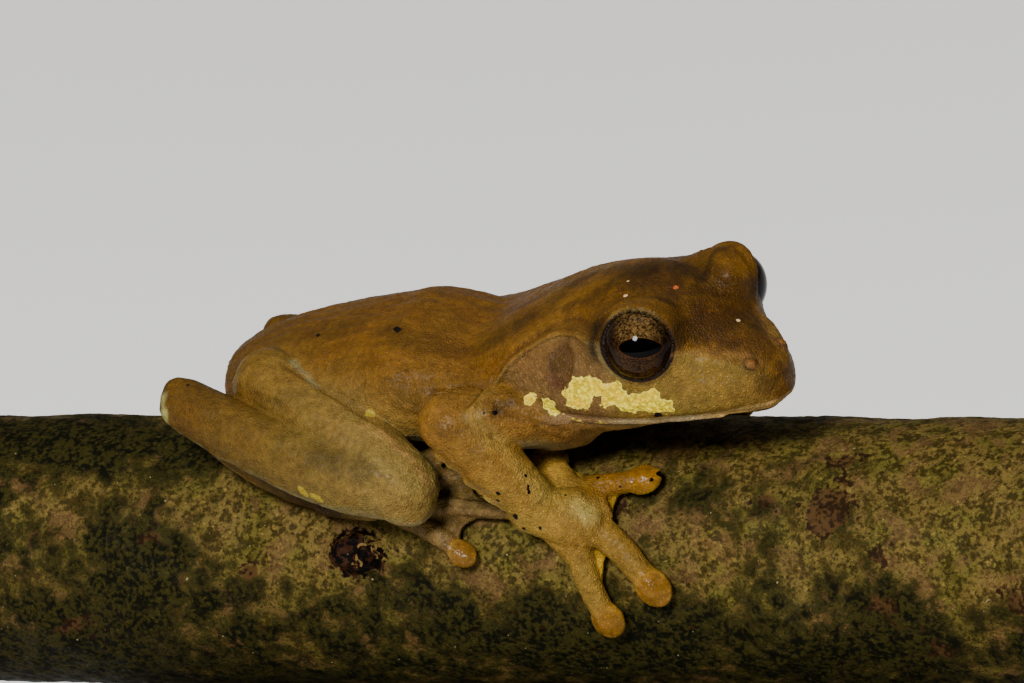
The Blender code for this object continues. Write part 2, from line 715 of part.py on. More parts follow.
def leg_forms(pose, name):
    side = pose["sign"]
    hip = sided(pose["hip"], side)
    knee = sided(pose["knee"], side)
    heel = sided(pose["heel"], side)
    ankle_x, ankle_angle, ankle_height = pose["ankle"]
    ankle = bark_point(ankle_x, side * ankle_angle, ankle_height)
    up = (0.0, side * 0.6, 0.8)
    thigh = limb(name + "_thigh", [(hip, 3.1, HIP_RADIUS), (hip.lerp(knee, 0.5), 3.3, 3.8),
                                   (knee, KNEE_RADIUS, KNEE_RADIUS)], up)
    shank_rows = []
    for share, wide, thick in ((0.0, 2.7, KNEE_RADIUS), (0.3, SHANK_RADIUS, 3.0), (0.7, 2.4, 2.5),
                               (1.0, HEEL_RADIUS, HEEL_RADIUS)):
        outward = Vector((0.0, side * 0.7, -0.25)) * math.sin(share * math.pi)
        shank_rows.append((knee.lerp(heel, share) + outward, wide, thick))
    shank = limb(name + "_shank", shank_rows, up)
    tarsus_rows = [(heel, HEEL_RADIUS * 0.9, HEEL_RADIUS * 0.8)]
    for share in (0.25, 0.5, 0.75):
        drop = Vector((0.0, 0.0, -TARSUS_BOW)) * math.sin(share * math.pi)
        tarsus_rows.append((heel.lerp(ankle, share) + drop, TARSUS_RADIUS, TARSUS_RADIUS))
    tarsus_rows.append((ankle, TARSUS_RADIUS, TARSUS_RADIUS * 0.9))
    return thigh, shank, limb(name + "_tarsus", tarsus_rows, up)


def mitre(first, joint, second):
    """Normal of the plane that halves a bend, pointing to the second stretch."""
    return ((joint - first).normalized() + (second - joint).normalized()).normalized()


def perch_radius(x, angle):
    """Radius of the branch: a little uneven, with a broken knot and a low swelling."""
    waves = 0.16 * (1 + math.sin(0.23 * x + 1.3 * math.sin(angle))) * 0.5
    waves += 0.12 * (1 + math.sin(0.61 * x + 3.0 * angle + 0.8)) * 0.5
    for (place, turn, height, half_length, half_width), power in ((KNOT, 2.0), (SWELLING, 1.0)):
        away = ((x - place) / half_length) ** 2 + ((angle - turn) * PERCH_RADIUS / half_width) ** 2
        waves -= height * math.exp(-away ** power)
    return PERCH_RADIUS - waves


def perch_form():
    """The branch, sawn square at both ends with a small worn edge."""
    sides, rings = 48, 40
    half = PERCH_LENGTH / 2
    places = [-half] + list(np.linspace(-half + PERCH_BEVEL, half - PERCH_BEVEL, rings)) + [half]
    loops = []
    for x in places:
        shrink = PERCH_BEVEL if abs(x) == half else 0.0
        loop = []
        for j in range(sides):
            angle = 2 * math.pi * j / sides
            radius = perch_radius(x, angle if angle <= math.pi else angle - 2 * math.pi) - shrink
            loop.append(Vector((x, radius * math.sin(angle), radius * math.cos(angle) - PERCH_RADIUS)))
        loops.append(loop)
    return thin_to(loft("perch", loops), TRIANGLES["perch"])


def build():
    for old in list(bpy.data.objects):
        bpy.data.objects.remove(old)
    scene = bpy.context.scene
    nodes = bpy.data.collections.new(OBJECT_NAME)
    scene.collection.children.link(nodes)
    skin = material("frog_skin", SKIN, 0.45)
    back = material("frog_back", BACK, 0.5)
    hand_skin = material("frog_hand_skin", HAND_SKIN, 0.4)
    eye_dark = material("frog_eye", EYE_DARK, 0.08)
    bark = material("bark", BARK, 0.85)
    black = material("stand_black", STAND_BLACK, 0.4)

    perch = perch_form()
    clear = cone("perch_clearance", (-60, 0, -PERCH_RADIUS), (1, 0, 0), 120,
                 PERCH_RADIUS + GAP, PERCH_RADIUS + GAP, 64)

    body = head_and_torso()
    feet, hands, thighs, shanks, tarsi, uppers, fores = {}, {}, {}, {}, {}, {}, {}
    for name, pose in (("right", RIGHT), ("left", LEFT)):
        feet[name] = foot_form(pose, name + "_foot")
        hands[name] = hand_form(pose, name + "_hand")
        upper, fore = arm_form(pose, name + "_arm")
        uppers[name] = fuse(name + "_upper_arm", [upper], LIMB_VOXEL, 4, TRIANGLES["arm"] // 2)
        fores[name] = fuse(name + "_forearm", fore, LIMB_VOXEL, 2, TRIANGLES["arm"])
        thigh, shank, tarsus = leg_forms(pose, name + "_leg")
        thighs[name] = fuse(name + "_thigh", [thigh], LIMB_VOXEL, 4, TRIANGLES["thigh"])
        shanks[name] = fuse(name + "_shank", [shank], LIMB_VOXEL, 4, TRIANGLES["shank"])
        tarsi[name] = fuse(name + "_tarsus", [tarsus], LIMB_VOXEL, 4, TRIANGLES["thigh"] // 2)

    body_clear = grown(body, 2400)
    for name, pose in (("right", RIGHT), ("left", LEFT)):
        side = pose["sign"]
        shoulder, elbow = sided(pose["shoulder"], side), sided(pose["elbow"], side)
        wrist = bark_point(pose["wrist"][0], side * pose["wrist"][1], pose["wrist"][2])
        palm = bark_point(pose["palm"][0], side * pose["palm"][1], pose["palm"][2])
        hip, knee = sided(pose["hip"], side), sided(pose["knee"], side)
        heel = sided(pose["heel"], side)
        ankle = bark_point(pose["ankle"][0], side * pose["ankle"][1], pose["ankle"][2])
        sole = bark_point(pose["sole"][0], side * pose["sole"][1], pose["sole"][2])
        at_elbow = mitre(shoulder, elbow, wrist)
        at_wrist = mitre(elbow, wrist, palm)
        at_knee = mitre(hip, knee, heel)
        at_heel = mitre(knee, heel, ankle)
        at_ankle = mitre(heel, ankle, sole)
        half = GAP / 2
        foot_clear = grown(feet[name], 900)
        hand_clear = grown(hands[name], 900)
        leg_clear = [grown(thighs[name], 300), grown(shanks[name], 300)]
        cut(uppers[name], [half_space("plane", elbow + at_elbow * -half, at_elbow)])
        cut(uppers[name], [body_clear, clear, hand_clear], keep_cutters=True)
        cut(fores[name], [half_space("plane", elbow + at_elbow * half, -at_elbow),
                          half_space("plane", wrist + at_wrist * -half, at_wrist)])
        cut(fores[name], [body_clear, clear, foot_clear, hand_clear] + leg_clear, keep_cutters=True)
        cut(hands[name], [body_clear, clear, foot_clear], keep_cutters=True)
        cut(thighs[name], [half_space("plane", knee + at_knee * -half, at_knee)])
        cut(thighs[name], [body_clear, clear, foot_clear], keep_cutters=True)
        cut(shanks[name], [half_space("plane", knee + at_knee * half, -at_knee),
                           half_space("plane", heel + at_heel * -half, at_heel)])
        cut(shanks[name], [body_clear, clear, foot_clear], keep_cutters=True)
        cut(tarsi[name], [half_space("plane", heel + at_heel * half, -at_heel),
                          half_space("plane", ankle + at_ankle * -half, at_ankle)])
        cut(tarsi[name], [body_clear, clear, leg_clear[0]], keep_cutters=True)
        cut(feet[name], [half_space("plane", ankle + at_ankle * half, -at_ankle)])
        cut(feet[name], [clear], keep_cutters=True)
        cut(body, [foot_clear], keep_cutters=True)
        remove(leg_clear + [foot_clear, hand_clear])
    remove([body_clear])
    cut(body, [clear], keep_cutters=True)

    for side in (-1.0, 1.0):
        eye = head_point(EYE_PLACE.x, side * EYE_PLACE.y, EYE_PLACE.z)
        axis = FORWARD * EYE_AXIS.x + LEFTWARD * side * EYE_AXIS.y + UPWARD * EYE_AXIS.z
        socket = ball("socket", eye, EYE_RADIUS + GAP, segments=20)
        opening = cone("opening", eye + axis * OPENING_START, axis, OPENING_DEPTH,
                       LID_OPENING, LID_OPENING + LID_FLARE, 28)
        nostril = head_point(NOSTRIL_PLACE.x, side * NOSTRIL_PLACE.y, NOSTRIL_PLACE.z)
        out = FORWARD * NOSTRIL_AXIS.x + LEFTWARD * side * NOSTRIL_AXIS.y + UPWARD * NOSTRIL_AXIS.z
        hole = cone("hole", nostril + out * 0.1, out, 2.0, NOSTRIL_RADIUS, NOSTRIL_RADIUS, 8)
        cut(body, [socket, opening, hole, ear_dish(body, side)])

    head = copy_of(body, "head")
    jaw = copy_of(body, "lower_jaw")
    line = smooth_rows(MOUTH_LINE, 4)
    half = GAP / 2

    def below(shift, back):
        outline = [(x, z + shift) for x, z in line[:-1]]
        outline.append((THROAT_END + back, line[-1][1] + shift))
        outline += [(THROAT_END + back, -16.0), (4.0, -16.0)]
        return prism("below_mouth", outline, head_point, 14.0)

    neck = head_point(NECK_CUT, 0, 0)
    cut(head, [below(half, -half), half_space("plane", neck + FORWARD * half, -FORWARD)])
    beyond = below(-half, half)
    step = jaw.modifiers.new("keep", "BOOLEAN")
    step.operation = "INTERSECT"
    step.object = beyond
    settle(jaw)
    remove([beyond])
    cut(body, [half_space("plane", neck - FORWARD * half, FORWARD)])

    finish(head, "head", back, nodes)
    finish(jaw, "lower_jaw", skin, nodes)
    finish(body, "torso", skin, nodes)
    for name in ("right", "left"):
        side = RIGHT["sign"] if name == "right" else LEFT["sign"]
        eye = ball(name + "_eye", head_point(EYE_PLACE.x, side * EYE_PLACE.y, EYE_PLACE.z), EYE_RADIUS)
        finish(eye, name + "_eye", eye_dark, nodes)
        finish(uppers[name], name + "_upper_arm", skin, nodes)
        finish(fores[name], name + "_forearm", hand_skin, nodes)
        finish(hands[name], name + "_hand", hand_skin, nodes)
        finish(thighs[name], name + "_thigh", skin, nodes)
        finish(shanks[name], name + "_shank", skin, nodes)
        finish(tarsi[name], name + "_tarsus", skin, nodes)
        finish(feet[name], name + "_foot", hand_skin, nodes)

    for i, x in enumerate((-ROD_SPACING / 2, ROD_SPACING / 2), start=1):
        bottom = BASE_THICKNESS - CREST_HEIGHT + GAP
        rod = cone("rod", (x, 0, bottom), (0, 0, 1), ROD_HEIGHT + 4.0, ROD_RADIUS, ROD_RADIUS, 24)
        cut(rod, [clear], keep_cutters=True)
        finish(rod, f"stand_rod_{i}", black, nodes)
    remove([clear])
    finish(perch, "perch", bark, nodes)

    data = bmesh.new()
    bmesh.ops.create_cube(data, size=1.0)
    data.transform(Matrix.Translation((0, 0, BASE_THICKNESS / 2 - CREST_HEIGHT))
                   @ Matrix.Diagonal((BASE_LENGTH, BASE_WIDTH, BASE_THICKNESS, 1.0)))
    mesh = bpy.data.meshes.new("stand_base")
    data.to_mesh(mesh)
    data.free()
    base = bpy.data.objects.new("stand_base", mesh)
    scene.collection.objects.link(base)
    edge = base.modifiers.new("edge", "BEVEL")
    edge.width = BASE_EDGE
    edge.segments = 2
    settle(base)
    finish(base, "stand_base", black, nodes)


build()
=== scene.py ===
# Looks of the tree frog on its perch: one fine skin over the flesh solids, wet eyes,
# bark on the branch and a satin finish on the stand.
# Forms are modelled in millimetres from the middle of the branch's crest (+X along the
# branch, +Y to the frog's left, +Z up), then scaled to metres and raised onto the stand.
import math

import bmesh
import bpy
import numpy as np
from mathutils import Matrix, Vector, noise
from mathutils.bvhtree import BVHTree


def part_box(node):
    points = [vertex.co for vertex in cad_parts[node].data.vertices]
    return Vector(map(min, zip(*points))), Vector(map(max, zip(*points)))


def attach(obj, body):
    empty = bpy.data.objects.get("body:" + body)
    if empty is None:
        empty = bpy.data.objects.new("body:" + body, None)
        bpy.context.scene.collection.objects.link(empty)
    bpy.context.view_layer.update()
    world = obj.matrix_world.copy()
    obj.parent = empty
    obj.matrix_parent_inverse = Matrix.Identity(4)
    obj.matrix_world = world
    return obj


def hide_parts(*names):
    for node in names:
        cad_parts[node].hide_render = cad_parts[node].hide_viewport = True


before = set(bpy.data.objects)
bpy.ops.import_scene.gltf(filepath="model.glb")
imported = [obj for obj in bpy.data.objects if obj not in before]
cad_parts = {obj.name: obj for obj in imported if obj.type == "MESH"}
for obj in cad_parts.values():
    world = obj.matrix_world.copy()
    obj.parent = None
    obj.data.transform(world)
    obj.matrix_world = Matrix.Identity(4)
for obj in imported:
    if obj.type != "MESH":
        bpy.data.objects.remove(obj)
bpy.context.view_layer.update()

METRES = 0.001
MM = 1000.0
FLESH = [
    "head", "lower_jaw", "torso", "right_upper_arm", "left_upper_arm", "right_forearm", "left_forearm",
    "right_hand", "left_hand", "right_thigh", "left_thigh", "right_shank", "left_shank",
    "right_tarsus", "left_tarsus", "right_foot", "left_foot",
]

# Branch, read from the frame
PERCH_LOW, PERCH_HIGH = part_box("perch")
PERCH_LENGTH = (PERCH_HIGH.x - PERCH_LOW.x) * MM
PERCH_RADIUS = 10.6
PERCH_BEVEL = 0.7
PERCH_SIDES = 300
PERCH_STEP = 0.26
BARK_DEEPEST = -0.6
BARK_HIGHEST = 0.22
SKIN_UNDER_BARK = 0.25
CREST_HEIGHT = 34.2
# Mounds of the bark: place, angle, height, half length and half width
KNOT = (-10.5, -1.136, 1.3, 2.15, 1.5)
SWELLING = (25.6, -1.73, 0.9, 3.5, 2.8)

# Photograph's view: azimuth and elevation of the line of sight, roll, and scale
VIEW_AZIMUTH = 24.0
VIEW_ELEVATION = 23.0
VIEW_DISTANCE = 1000.0
PHOTO_WIDTH = 1024.0
PHOTO_HEIGHT = 683.0
PIXELS_PER_MM = 13.0
CREST_PIXEL_Y = 427.83

# Head: place of the snout tip, and how the head turns on the body
SNOUT_TIP = Vector((27.1, -7.0, 8.0))
HEAD_YAW = 19.0
HEAD_PITCH = -8.0
HEAD_ROLL = 0.8
# Sections of head and jaw: place behind the snout, half width, widest line, top and bottom
SKULL = [
    (-1.15, 0.7, -1.5, -0.6, -2.3),
    (-1.6, 1.9, -1.7, 0.2, -2.8),
    (-2.7, 3.1, -1.8, 1.1, -3.1),
    (-4.3, 4.4, -2.1, 1.8, -3.4),
    (-6.5, 5.9, -2.5, 2.7, -3.8),
    (-10.0, 7.4, -3.0, 4.3, -4.7),
    (-14.0, 8.6, -3.4, 4.8, -5.4),
    (-18.0, 9.0, -3.5, 3.6, -6.0),
    (-22.0, 8.9, -3.4, 1.5, -7.0),
    (-27.0, 7.2, -3.6, -1.8, -7.6),
    (-33.0, 4.6, -5.2, -5.0, -7.0),
]
JAW = [
    (-1.8, 0.9, -2.8, -1.8, -3.4),
    (-2.9, 2.1, -2.9, -1.8, -3.9),
    (-5.0, 3.4, -3.2, -1.8, -4.2),
    (-8.0, 5.0, -3.7, -2.0, -5.1),
    (-12.0, 6.6, -4.4, -2.5, -6.6),
    (-16.0, 7.8, -4.9, -3.0, -8.2),
    (-20.0, 8.4, -5.2, -3.0, -9.5),
    (-25.0, 8.3, -5.2, -3.0, -9.8),
]
SKULL_SHAPE = (2.0, 2.2)
JAW_SHAPE = (2.0, 2.3)
MOUTH_LINE = [
    (2.0, -2.9), (-1.5, -3.15), (-5.0, -3.85), (-8.0, -4.35), (-11.5, -4.95), (-16.5, -5.45), (-19.5, -5.5),
]
EYE_PLACE = Vector((-10.35, 5.2, 2.0))
NEAR_EYE_SHIFT = Vector((-0.327, 0.091, -0.19))
EYE_AXIS = Vector((0.34, 0.86, 0.33)).normalized()
EYE_RADIUS = 2.93
GAZE = Vector((0.46, 0.80, 0.38)).normalized()
PUPIL_TILT = 13.0
PUPIL_SHIFT = 0.26
PUPIL_HALF_WIDTH = 1.6
PUPIL_HALF_HEIGHT = 0.76
PUPIL_POWER = 1.8
LID_BALL = 3.3
LID_HALF_WIDTH = 2.94
LID_HALF_HEIGHT = 2.76
LID_MARGIN = 0.12
BROW_MARGIN = 0.4
RIM_WIDTH = 0.16
RIM_DEPTH = 0.4
LID_WIDTH = 0.9
LID_THICKNESS = 0.15
FAR_LID_COVER = 0.76
FAR_AWAY = 9.0
SOFT_REACH = 2.8
SOFT_ROUNDS = 70
BROW_SIZE = (5.0, 3.6, 2.8)
NOSTRIL_PLACE = Vector((-2.7, 2.06, 1.08))
NOSTRIL_AXIS = Vector((0.25, 0.9, 0.35)).normalized()
EAR_PLACE = (-16.3, -0.6)
EAR_SIZE = (1.3, 1.75)
FOLD = [(-13.4, 1.9), (-15.5, 2.0), (-18.0, 1.2), (-20.5, -0.8), (-21.8, -2.8), (-22.2, -4.4)]
# Ridge from eye to snout: places in the head's own coordinates, and radius
CANTHUS = [(-8.0, 4.1, 1.2, 0.95), (-5.0, 3.2, 0.8, 0.7), (-3.1, 2.1, 0.4, 0.55), (-2.0, 1.4, -0.1, 0.4)]
POUCH_PLACE = Vector((-21.6, 4.6, -7.2))
POUCH_SIZE = (6.0, 3.8, 3.0)

# Trunk and limbs, as in the solids. Sections: place, centre, half width, widest line, top, bottom
TORSO = [
    (9.0, -1.0, 7.6, 6.0, 11.2, 1.2),
    (5.0, -0.8, 8.5, 5.1, 10.0, 0.6),
    (1.0, -0.4, 8.6, 5.1, 9.2, 0.6),
    (-4.5, 0.0, 8.6, 5.2, 10.2, 0.9),
    (-10.0, 0.3, 8.3, 5.0, 9.9, 0.9),
    (-15.5, 0.6, 7.2, 4.9, 8.8, 0.9),
    (-19.5, 0.7, 5.5, 4.7, 7.7, 1.4),
    (-22.2, 0.7, 3.6, 4.4, 6.4, 2.4),
]
TORSO_SHAPE = (2.2, 2.5)
# Joints as places in millimetres, on the right or left by the sign. Wrist, palm, ankle and sole are
# given as place along the branch, degrees from its crest and height over the bark. Fingers and toes:
# three such places without height, and the disc's radius.
RIGHT = {
    "sign": -1.0,
    "shoulder": (7.5, 6.8, 4.9), "elbow": (-0.3, 10.4, 5.4), "wrist": (6.05, 50.8, 2.5),
    "palm": (8.5, 52.0, 1.6),
    "fingers": [
        ((7.0, 42.5), (5.8, 32.0), (4.6, 22.0), 1.1),
        ((7.4, 40.5), (10.2, 38.0), (13.1, 34.8), 1.25),
        ((9.4, 53.5), (12.0, 64.0), (14.4, 78.0), 1.42),
        ((8.1, 56.5), (9.0, 74.0), (10.3, 91.5), 1.32),
    ],
    "hip": (-17.3, 4.2, 5.3), "knee": (-5.0, 11.1, 0.3), "heel": (-23.7, 6.8, 5.1),
    "ankle": (-11.8, 43.0, 1.7), "sole": (-8.6, 43.0, 1.5),
    "toes": [
        ((-9.0, 38.0), (-8.2, 28.0), (-7.2, 19.0), 0.85),
        ((-8.6, 41.0), (-6.2, 30.0), (-4.0, 22.0), 0.95),
        ((-7.6, 45.0), (-3.6, 36.0), (0.4, 28.5), 1.05),
        ((-7.2, 46.0), (-1.8, 46.8), (3.6, 48.5), 1.1),
        ((-7.0, 49.0), (-4.0, 56.0), (-1.2, 65.2), 1.1),
    ],
}
LEFT = {
    "sign": 1.0,
    "shoulder": (8.6, 5.6, 4.8), "elbow": (2.4, 10.2, 4.2), "wrist": (8.8, 50.0, 2.5),
    "palm": (11.0, 52.0, 1.6),
    "fingers": [
        ((9.4, 43.5), (8.2, 33.0), (7.0, 23.0), 1.1),
        ((9.8, 42.0), (12.7, 41.5), (15.8, 39.0), 1.25),
        ((11.8, 54.5), (14.5, 65.0), (17.0, 78.5), 1.42),
        ((10.5, 57.5), (11.4, 75.0), (12.7, 91.0), 1.32),
    ],
    "hip": (-16.6, 4.6, 4.2), "knee": (-4.0, 11.4, 0.2), "heel": (-21.0, 7.6, 3.9),
    "ankle": (-9.8, 48.0, 1.7), "sole": (-6.6, 49.0, 1.5),
    "toes": [
        ((-7.0, 39.0), (-6.2, 29.0), (-5.2, 20.0), 0.85),
        ((-6.6, 42.0), (-4.2, 31.0), (-2.0, 23.0), 0.95),
        ((-5.6, 46.0), (-1.6, 37.0), (2.4, 29.5), 1.05),
        ((-5.2, 50.0), (0.2, 48.0), (5.6, 47.0), 1.1),
        ((-5.6, 55.0), (-2.8, 61.0), (0.0, 66.0), 1.1),
    ],
}
ON_BARK = ("wrist", "palm", "ankle", "sole")
ELBOW_RADIUS = 2.5
FOREARM_RADIUS = 2.3
WRIST_RADIUS = 1.8
FRINGE_RADIUS = 0.45
FRINGE_START = 0.12
FRINGE_LENGTH = 0.8
FRINGE_PALE = (0.7, 0.5, 0.1, 1.0, 0.3, 1.0, 0.1, 0.0, 0.0)
HIP_RADIUS = 3.4
KNEE_RADIUS = 2.95
SHANK_RADIUS = 2.9
HEEL_RADIUS = 2.1
TARSUS_RADIUS = 1.6
TARSUS_BOW = 1.5
TUBERCLES = 8
DIGIT_TAPER = (0.86, 0.74)
DIGIT_HEIGHT = 0.95
DISC_HEIGHT = 0.8
DISC_THICKNESS = 0.75
WEB_HEIGHT = 0.62
WEB_THICKNESS = 0.4
# Webs: how far they reach along the two digits, and the hollow of the free edge
HAND_WEBS = [((0.95, 0.5), 0.12), ((0.72, 0.5), 0.16), ((0.32, 0.86), 0.14)]
FOOT_WEB = ((0.92, 0.92), 0.22)

# Share of light that each surface gives back where a colour is given as it looks
SKIN_GAIN = 0.44
IRIS_GAIN = 0.6
BARK_GAIN = 0.4

# Fineness and softness of the head and trunk, and of the whole skin
CORE_VOXEL = 0.3
CORE_ROUNDS = 7
SKIN_VOXEL = 0.15
SKIN_ROUNDS = 5


def view_axes():
    """Right, up and towards the viewer, for the photograph's line of sight."""
    a, e = math.radians(VIEW_AZIMUTH), math.radians(VIEW_ELEVATION)
    toward = Vector((math.sin(a) * math.cos(e), -math.cos(a) * math.cos(e), math.sin(e)))
    level = Vector((math.cos(a), math.sin(a), 0.0))
    rise = toward.cross(level)
    roll = math.atan2(-rise.x, level.x)
    right = math.cos(roll) * level - math.sin(roll) * rise
    return right, toward.cross(right), toward


VIEW_RIGHT, VIEW_UP, VIEW_TOWARD = view_axes()


def head_frame():
    """Forward, left and up directions of the head."""
    yaw, pitch, roll = math.radians(HEAD_YAW), math.radians(HEAD_PITCH), math.radians(HEAD_ROLL)
    level = Vector((math.cos(yaw), -math.sin(yaw), 0.0))
    across = Vector((math.sin(yaw), math.cos(yaw), 0.0))
    left = (math.cos(roll) * across + math.sin(roll) * Vector((0.0, 0.0, 1.0))).normalized()
    rise = level.cross(left)
    forward = (math.cos(pitch) * level + math.sin(pitch) * rise).normalized()
    return forward, left, forward.cross(left)


FORWARD, LEFTWARD, UPWARD = head_frame()


def head_point(x, y, z):
    return SNOUT_TIP + FORWARD * float(x) + LEFTWARD * float(y) + UPWARD * float(z)


def head_place(point, side):
    return head_point(point.x, side * point.y, point.z)


def head_direction(axis, side):
    return FORWARD * axis.x + LEFTWARD * side * axis.y + UPWARD * axis.z


def bark_point(x, angle, height):
    """A point over the bark: along the branch, round it from the crest, and out from it."""
    turn = math.radians(angle)
    reach = PERCH_RADIUS + height
    return Vector((x, reach * math.sin(turn), reach * math.cos(turn) - PERCH_RADIUS))


def bark_normal(point):
    return Vector((0.0, point[1], point[2] + PERCH_RADIUS)).normalized()


def joints(pose, names):
    """Places of joints; those of hands and feet are given round the bark."""
    places = []
    for name in names.split():
        x, turn, height = pose[name]
        if name in ON_BARK:
            places.append(bark_point(x, pose["sign"] * turn, height))
        else:
            places.append(Vector((x, pose["sign"] * turn, height)))
    return places


def digit_path(row, side):
    return [bark_point(x, side * angle, DIGIT_HEIGHT) for x, angle in row[:3]]


def disc_place(row, side):
    return bark_point(row[2][0], side * row[2][1], DISC_HEIGHT)


def smooth_rows(rows, steps):
    """Rows of numbers made denser along a smooth curve through them."""
    rows = np.array(rows, dtype=float)
    padded = np.vstack([2 * rows[0] - rows[1], rows, 2 * rows[-1] - rows[-2]])
    out = []
    for i in range(1, len(padded) - 2):
        a, b, c, d = padded[i - 1:i + 3]
        for t in np.arange(steps) / steps:
            out.append(0.5 * (2 * b + (c - a) * t + (2 * a - 5 * b + 4 * c - d) * t ** 2
                              + (3 * b - a - 3 * c + d) * t ** 3))
    out.append(rows[-1])
    return np.array(out)


def new_object(name, data):
    obj = bpy.data.objects.new(name, data)
    bpy.context.scene.collection.objects.link(obj)
    return obj


def mesh_object(name, vertices, faces):
    mesh = bpy.data.meshes.new(name)
    mesh.from_pydata([tuple(v) for v in vertices], [], faces)
    data = bmesh.new()
    data.from_mesh(mesh)
    bmesh.ops.recalc_face_normals(data, faces=data.faces)
    data.to_mesh(mesh)
    data.free()
    return new_object(name, mesh)


def loft(name, rings):
    """A closed body through rings of equal counts, each end closed to a point at its middle."""
    count = len(rings[0])
    vertices = [v for ring in rings for v in ring]
    faces = []
    last = (len(rings) - 1) * count
    for i in range(0, last, count):
        for j in range(count):
            k = (j + 1) % count
            faces.append((i + j, i + k, i + count + k, i + count + j))
    vertices.append(np.mean(rings[0], axis=0))
    vertices.append(np.mean(rings[-1], axis=0))
    for j in range(count):
        k = (j + 1) % count
        faces.append((len(vertices) - 2, k, j))
        faces.append((len(vertices) - 1, last + j, last + k))
    return mesh_object(name, vertices, faces)


def section(half_width, middle, top, bottom, shape, sides):
    """Offsets across and up of a section whose upper and lower halves are superellipses."""
    points = []
    for j in range(sides):
        turn = 2 * math.pi * j / sides
        c, s = math.cos(turn), math.sin(turn)
        power = 2.0 / (shape[0] if s >= 0 else shape[1])
        rise = (top - middle) if s >= 0 else (middle - bottom)
        points.append((half_width * math.copysign(abs(c) ** power, c),
                       middle + rise * math.copysign(abs(s) ** power, s)))
    return points


def head_loft(name, rows, shape, sides=72, steps=8):
    rings = []
    for x, width, middle, top, bottom in smooth_rows(rows, steps):
        rings.append([head_point(x, y, z) for y, z in section(width, middle, top, bottom, shape, sides)])
    return loft(name, rings)


def torso_loft(name, sides=72, steps=8):
    rings = []
    for x, centre, width, middle, top, bottom in smooth_rows(TORSO, steps):
        ring = section(width, middle, top, bottom, TORSO_SHAPE, sides)
        rings.append([Vector((x, centre + y, z)) for y, z in ring])
    return loft(name, rings)


def limb(name, stations, up, sides=36, steps=10):
    """A limb with round ends through stations of a point, a half width and a half height."""
    rows = smooth_rows([(*point, width, height) for point, width, height in stations], steps)
    points = rows[:, :3]
    ahead = np.gradient(points, axis=0)
    ahead /= np.linalg.norm(ahead, axis=1)[:, None]
    up = np.array(up, dtype=float)
    angles = 2 * np.pi * np.arange(sides) / sides

    def ring(i, shift, scale):
        across = np.cross(up, ahead[i])
        across /= np.linalg.norm(across)
        rise = np.cross(ahead[i], across)
        middle = points[i] + ahead[i] * shift
        width, height = rows[i, 3] * scale, rows[i, 4] * scale
        return [middle + across * width * math.cos(a) + rise * height * math.sin(a) for a in angles]

    rings = []
    last = len(rows) - 1
    cap = [(math.sin(math.radians(turn)), math.cos(math.radians(turn))) for turn in (20, 40, 58, 73, 84)]
    for reach, scale in reversed(cap):
        rings.append(ring(0, -rows[0, 3:5].mean() * reach, scale))
    rings += [ring(i, 0.0, 1.0) for i in range(len(rows))]
    for reach, scale in cap:
        rings.append(ring(last, rows[last, 3:5].mean() * reach, scale))
    return loft(name, rings)


def ball(name, centre, radius, scale=(1.0, 1.0, 1.0), axes=None, segments=32):
    """A sphere, or an ellipsoid with its three axes along the given directions."""
    data = bmesh.new()
    bmesh.ops.create_uvsphere(data, u_segments=segments, v_segments=segments // 2, radius=radius)
    turn = Matrix.Identity(4)
    if axes:
        turn = Matrix((axes[0], axes[1], axes[2])).transposed().to_4x4()
    data.transform(Matrix.Translation(centre) @ turn @ Matrix.Diagonal((*scale, 1.0)))
    mesh = bpy.data.meshes.new(name)
    data.to_mesh(mesh)
    data.free()
    return new_object(name, mesh)


def settle(obj):
    """Replaces an object's mesh with the shape its modifiers give."""
    graph = bpy.context.evaluated_depsgraph_get()
    mesh = bpy.data.meshes.new_from_object(obj.evaluated_get(graph))
    obj.modifiers.clear()
    obj.data = mesh
    return obj


def fuse(name, pieces, voxel, smooth_steps):
    """One closed skin round overlapping pieces, softened."""
    data = bmesh.new()
    for piece in pieces:
        data.from_mesh(piece.data)
    mesh = bpy.data.meshes.new(name)
    data.to_mesh(mesh)
    data.free()
    for piece in pieces:
        bpy.data.objects.remove(piece)
    obj = new_object(name, mesh)
    skin = obj.modifiers.new("skin", "REMESH")
    skin.mode = "VOXEL"
    skin.voxel_size = voxel
    ease = obj.modifiers.new("ease", "SMOOTH")
    ease.factor = 0.5
    ease.iterations = smooth_steps
    return settle(obj)


def surface_of(obj):
    return BVHTree.FromObject(obj, bpy.context.evaluated_depsgraph_get())


def on_side(surface, side, x, z, depth=0.0):
    """The point of a head surface at a distance behind the snout and a height, sunk in by a depth."""
    out = LEFTWARD * side
    place = surface.ray_cast(head_point(x, 0, z) + out * 30.0, -out)[0]
    return place - out * depth


def eye_centre(side):
    return head_place(EYE_PLACE, side) + (NEAR_EYE_SHIFT if side < 0 else Vector())


def eye_axes(side):
    """Directions of an eye: to the snout, up, and out."""
    out = head_direction(EYE_AXIS, side)
    ahead = (FORWARD - out * FORWARD.dot(out)).normalized()
    rise = out.cross(ahead)
    if rise.dot(UPWARD) < 0:
        rise = -rise
    return ahead, rise, out


def trunk_pieces():
    axes = (FORWARD, LEFTWARD, UPWARD)
    pieces = [head_loft("skull", SKULL, SKULL_SHAPE), head_loft("jaw", JAW, JAW_SHAPE), torso_loft("trunk")]
    for side in (-1.0, 1.0):
        brow = head_point(EYE_PLACE.x - 1.6, side * (EYE_PLACE.y - 0.8), EYE_PLACE.z - 0.7)
        pieces.append(ball("brow", brow, 1.0, BROW_SIZE, axes))
        pieces.append(ball("throat_pouch", head_place(POUCH_PLACE, side), 1.0, POUCH_SIZE, axes))
    return pieces


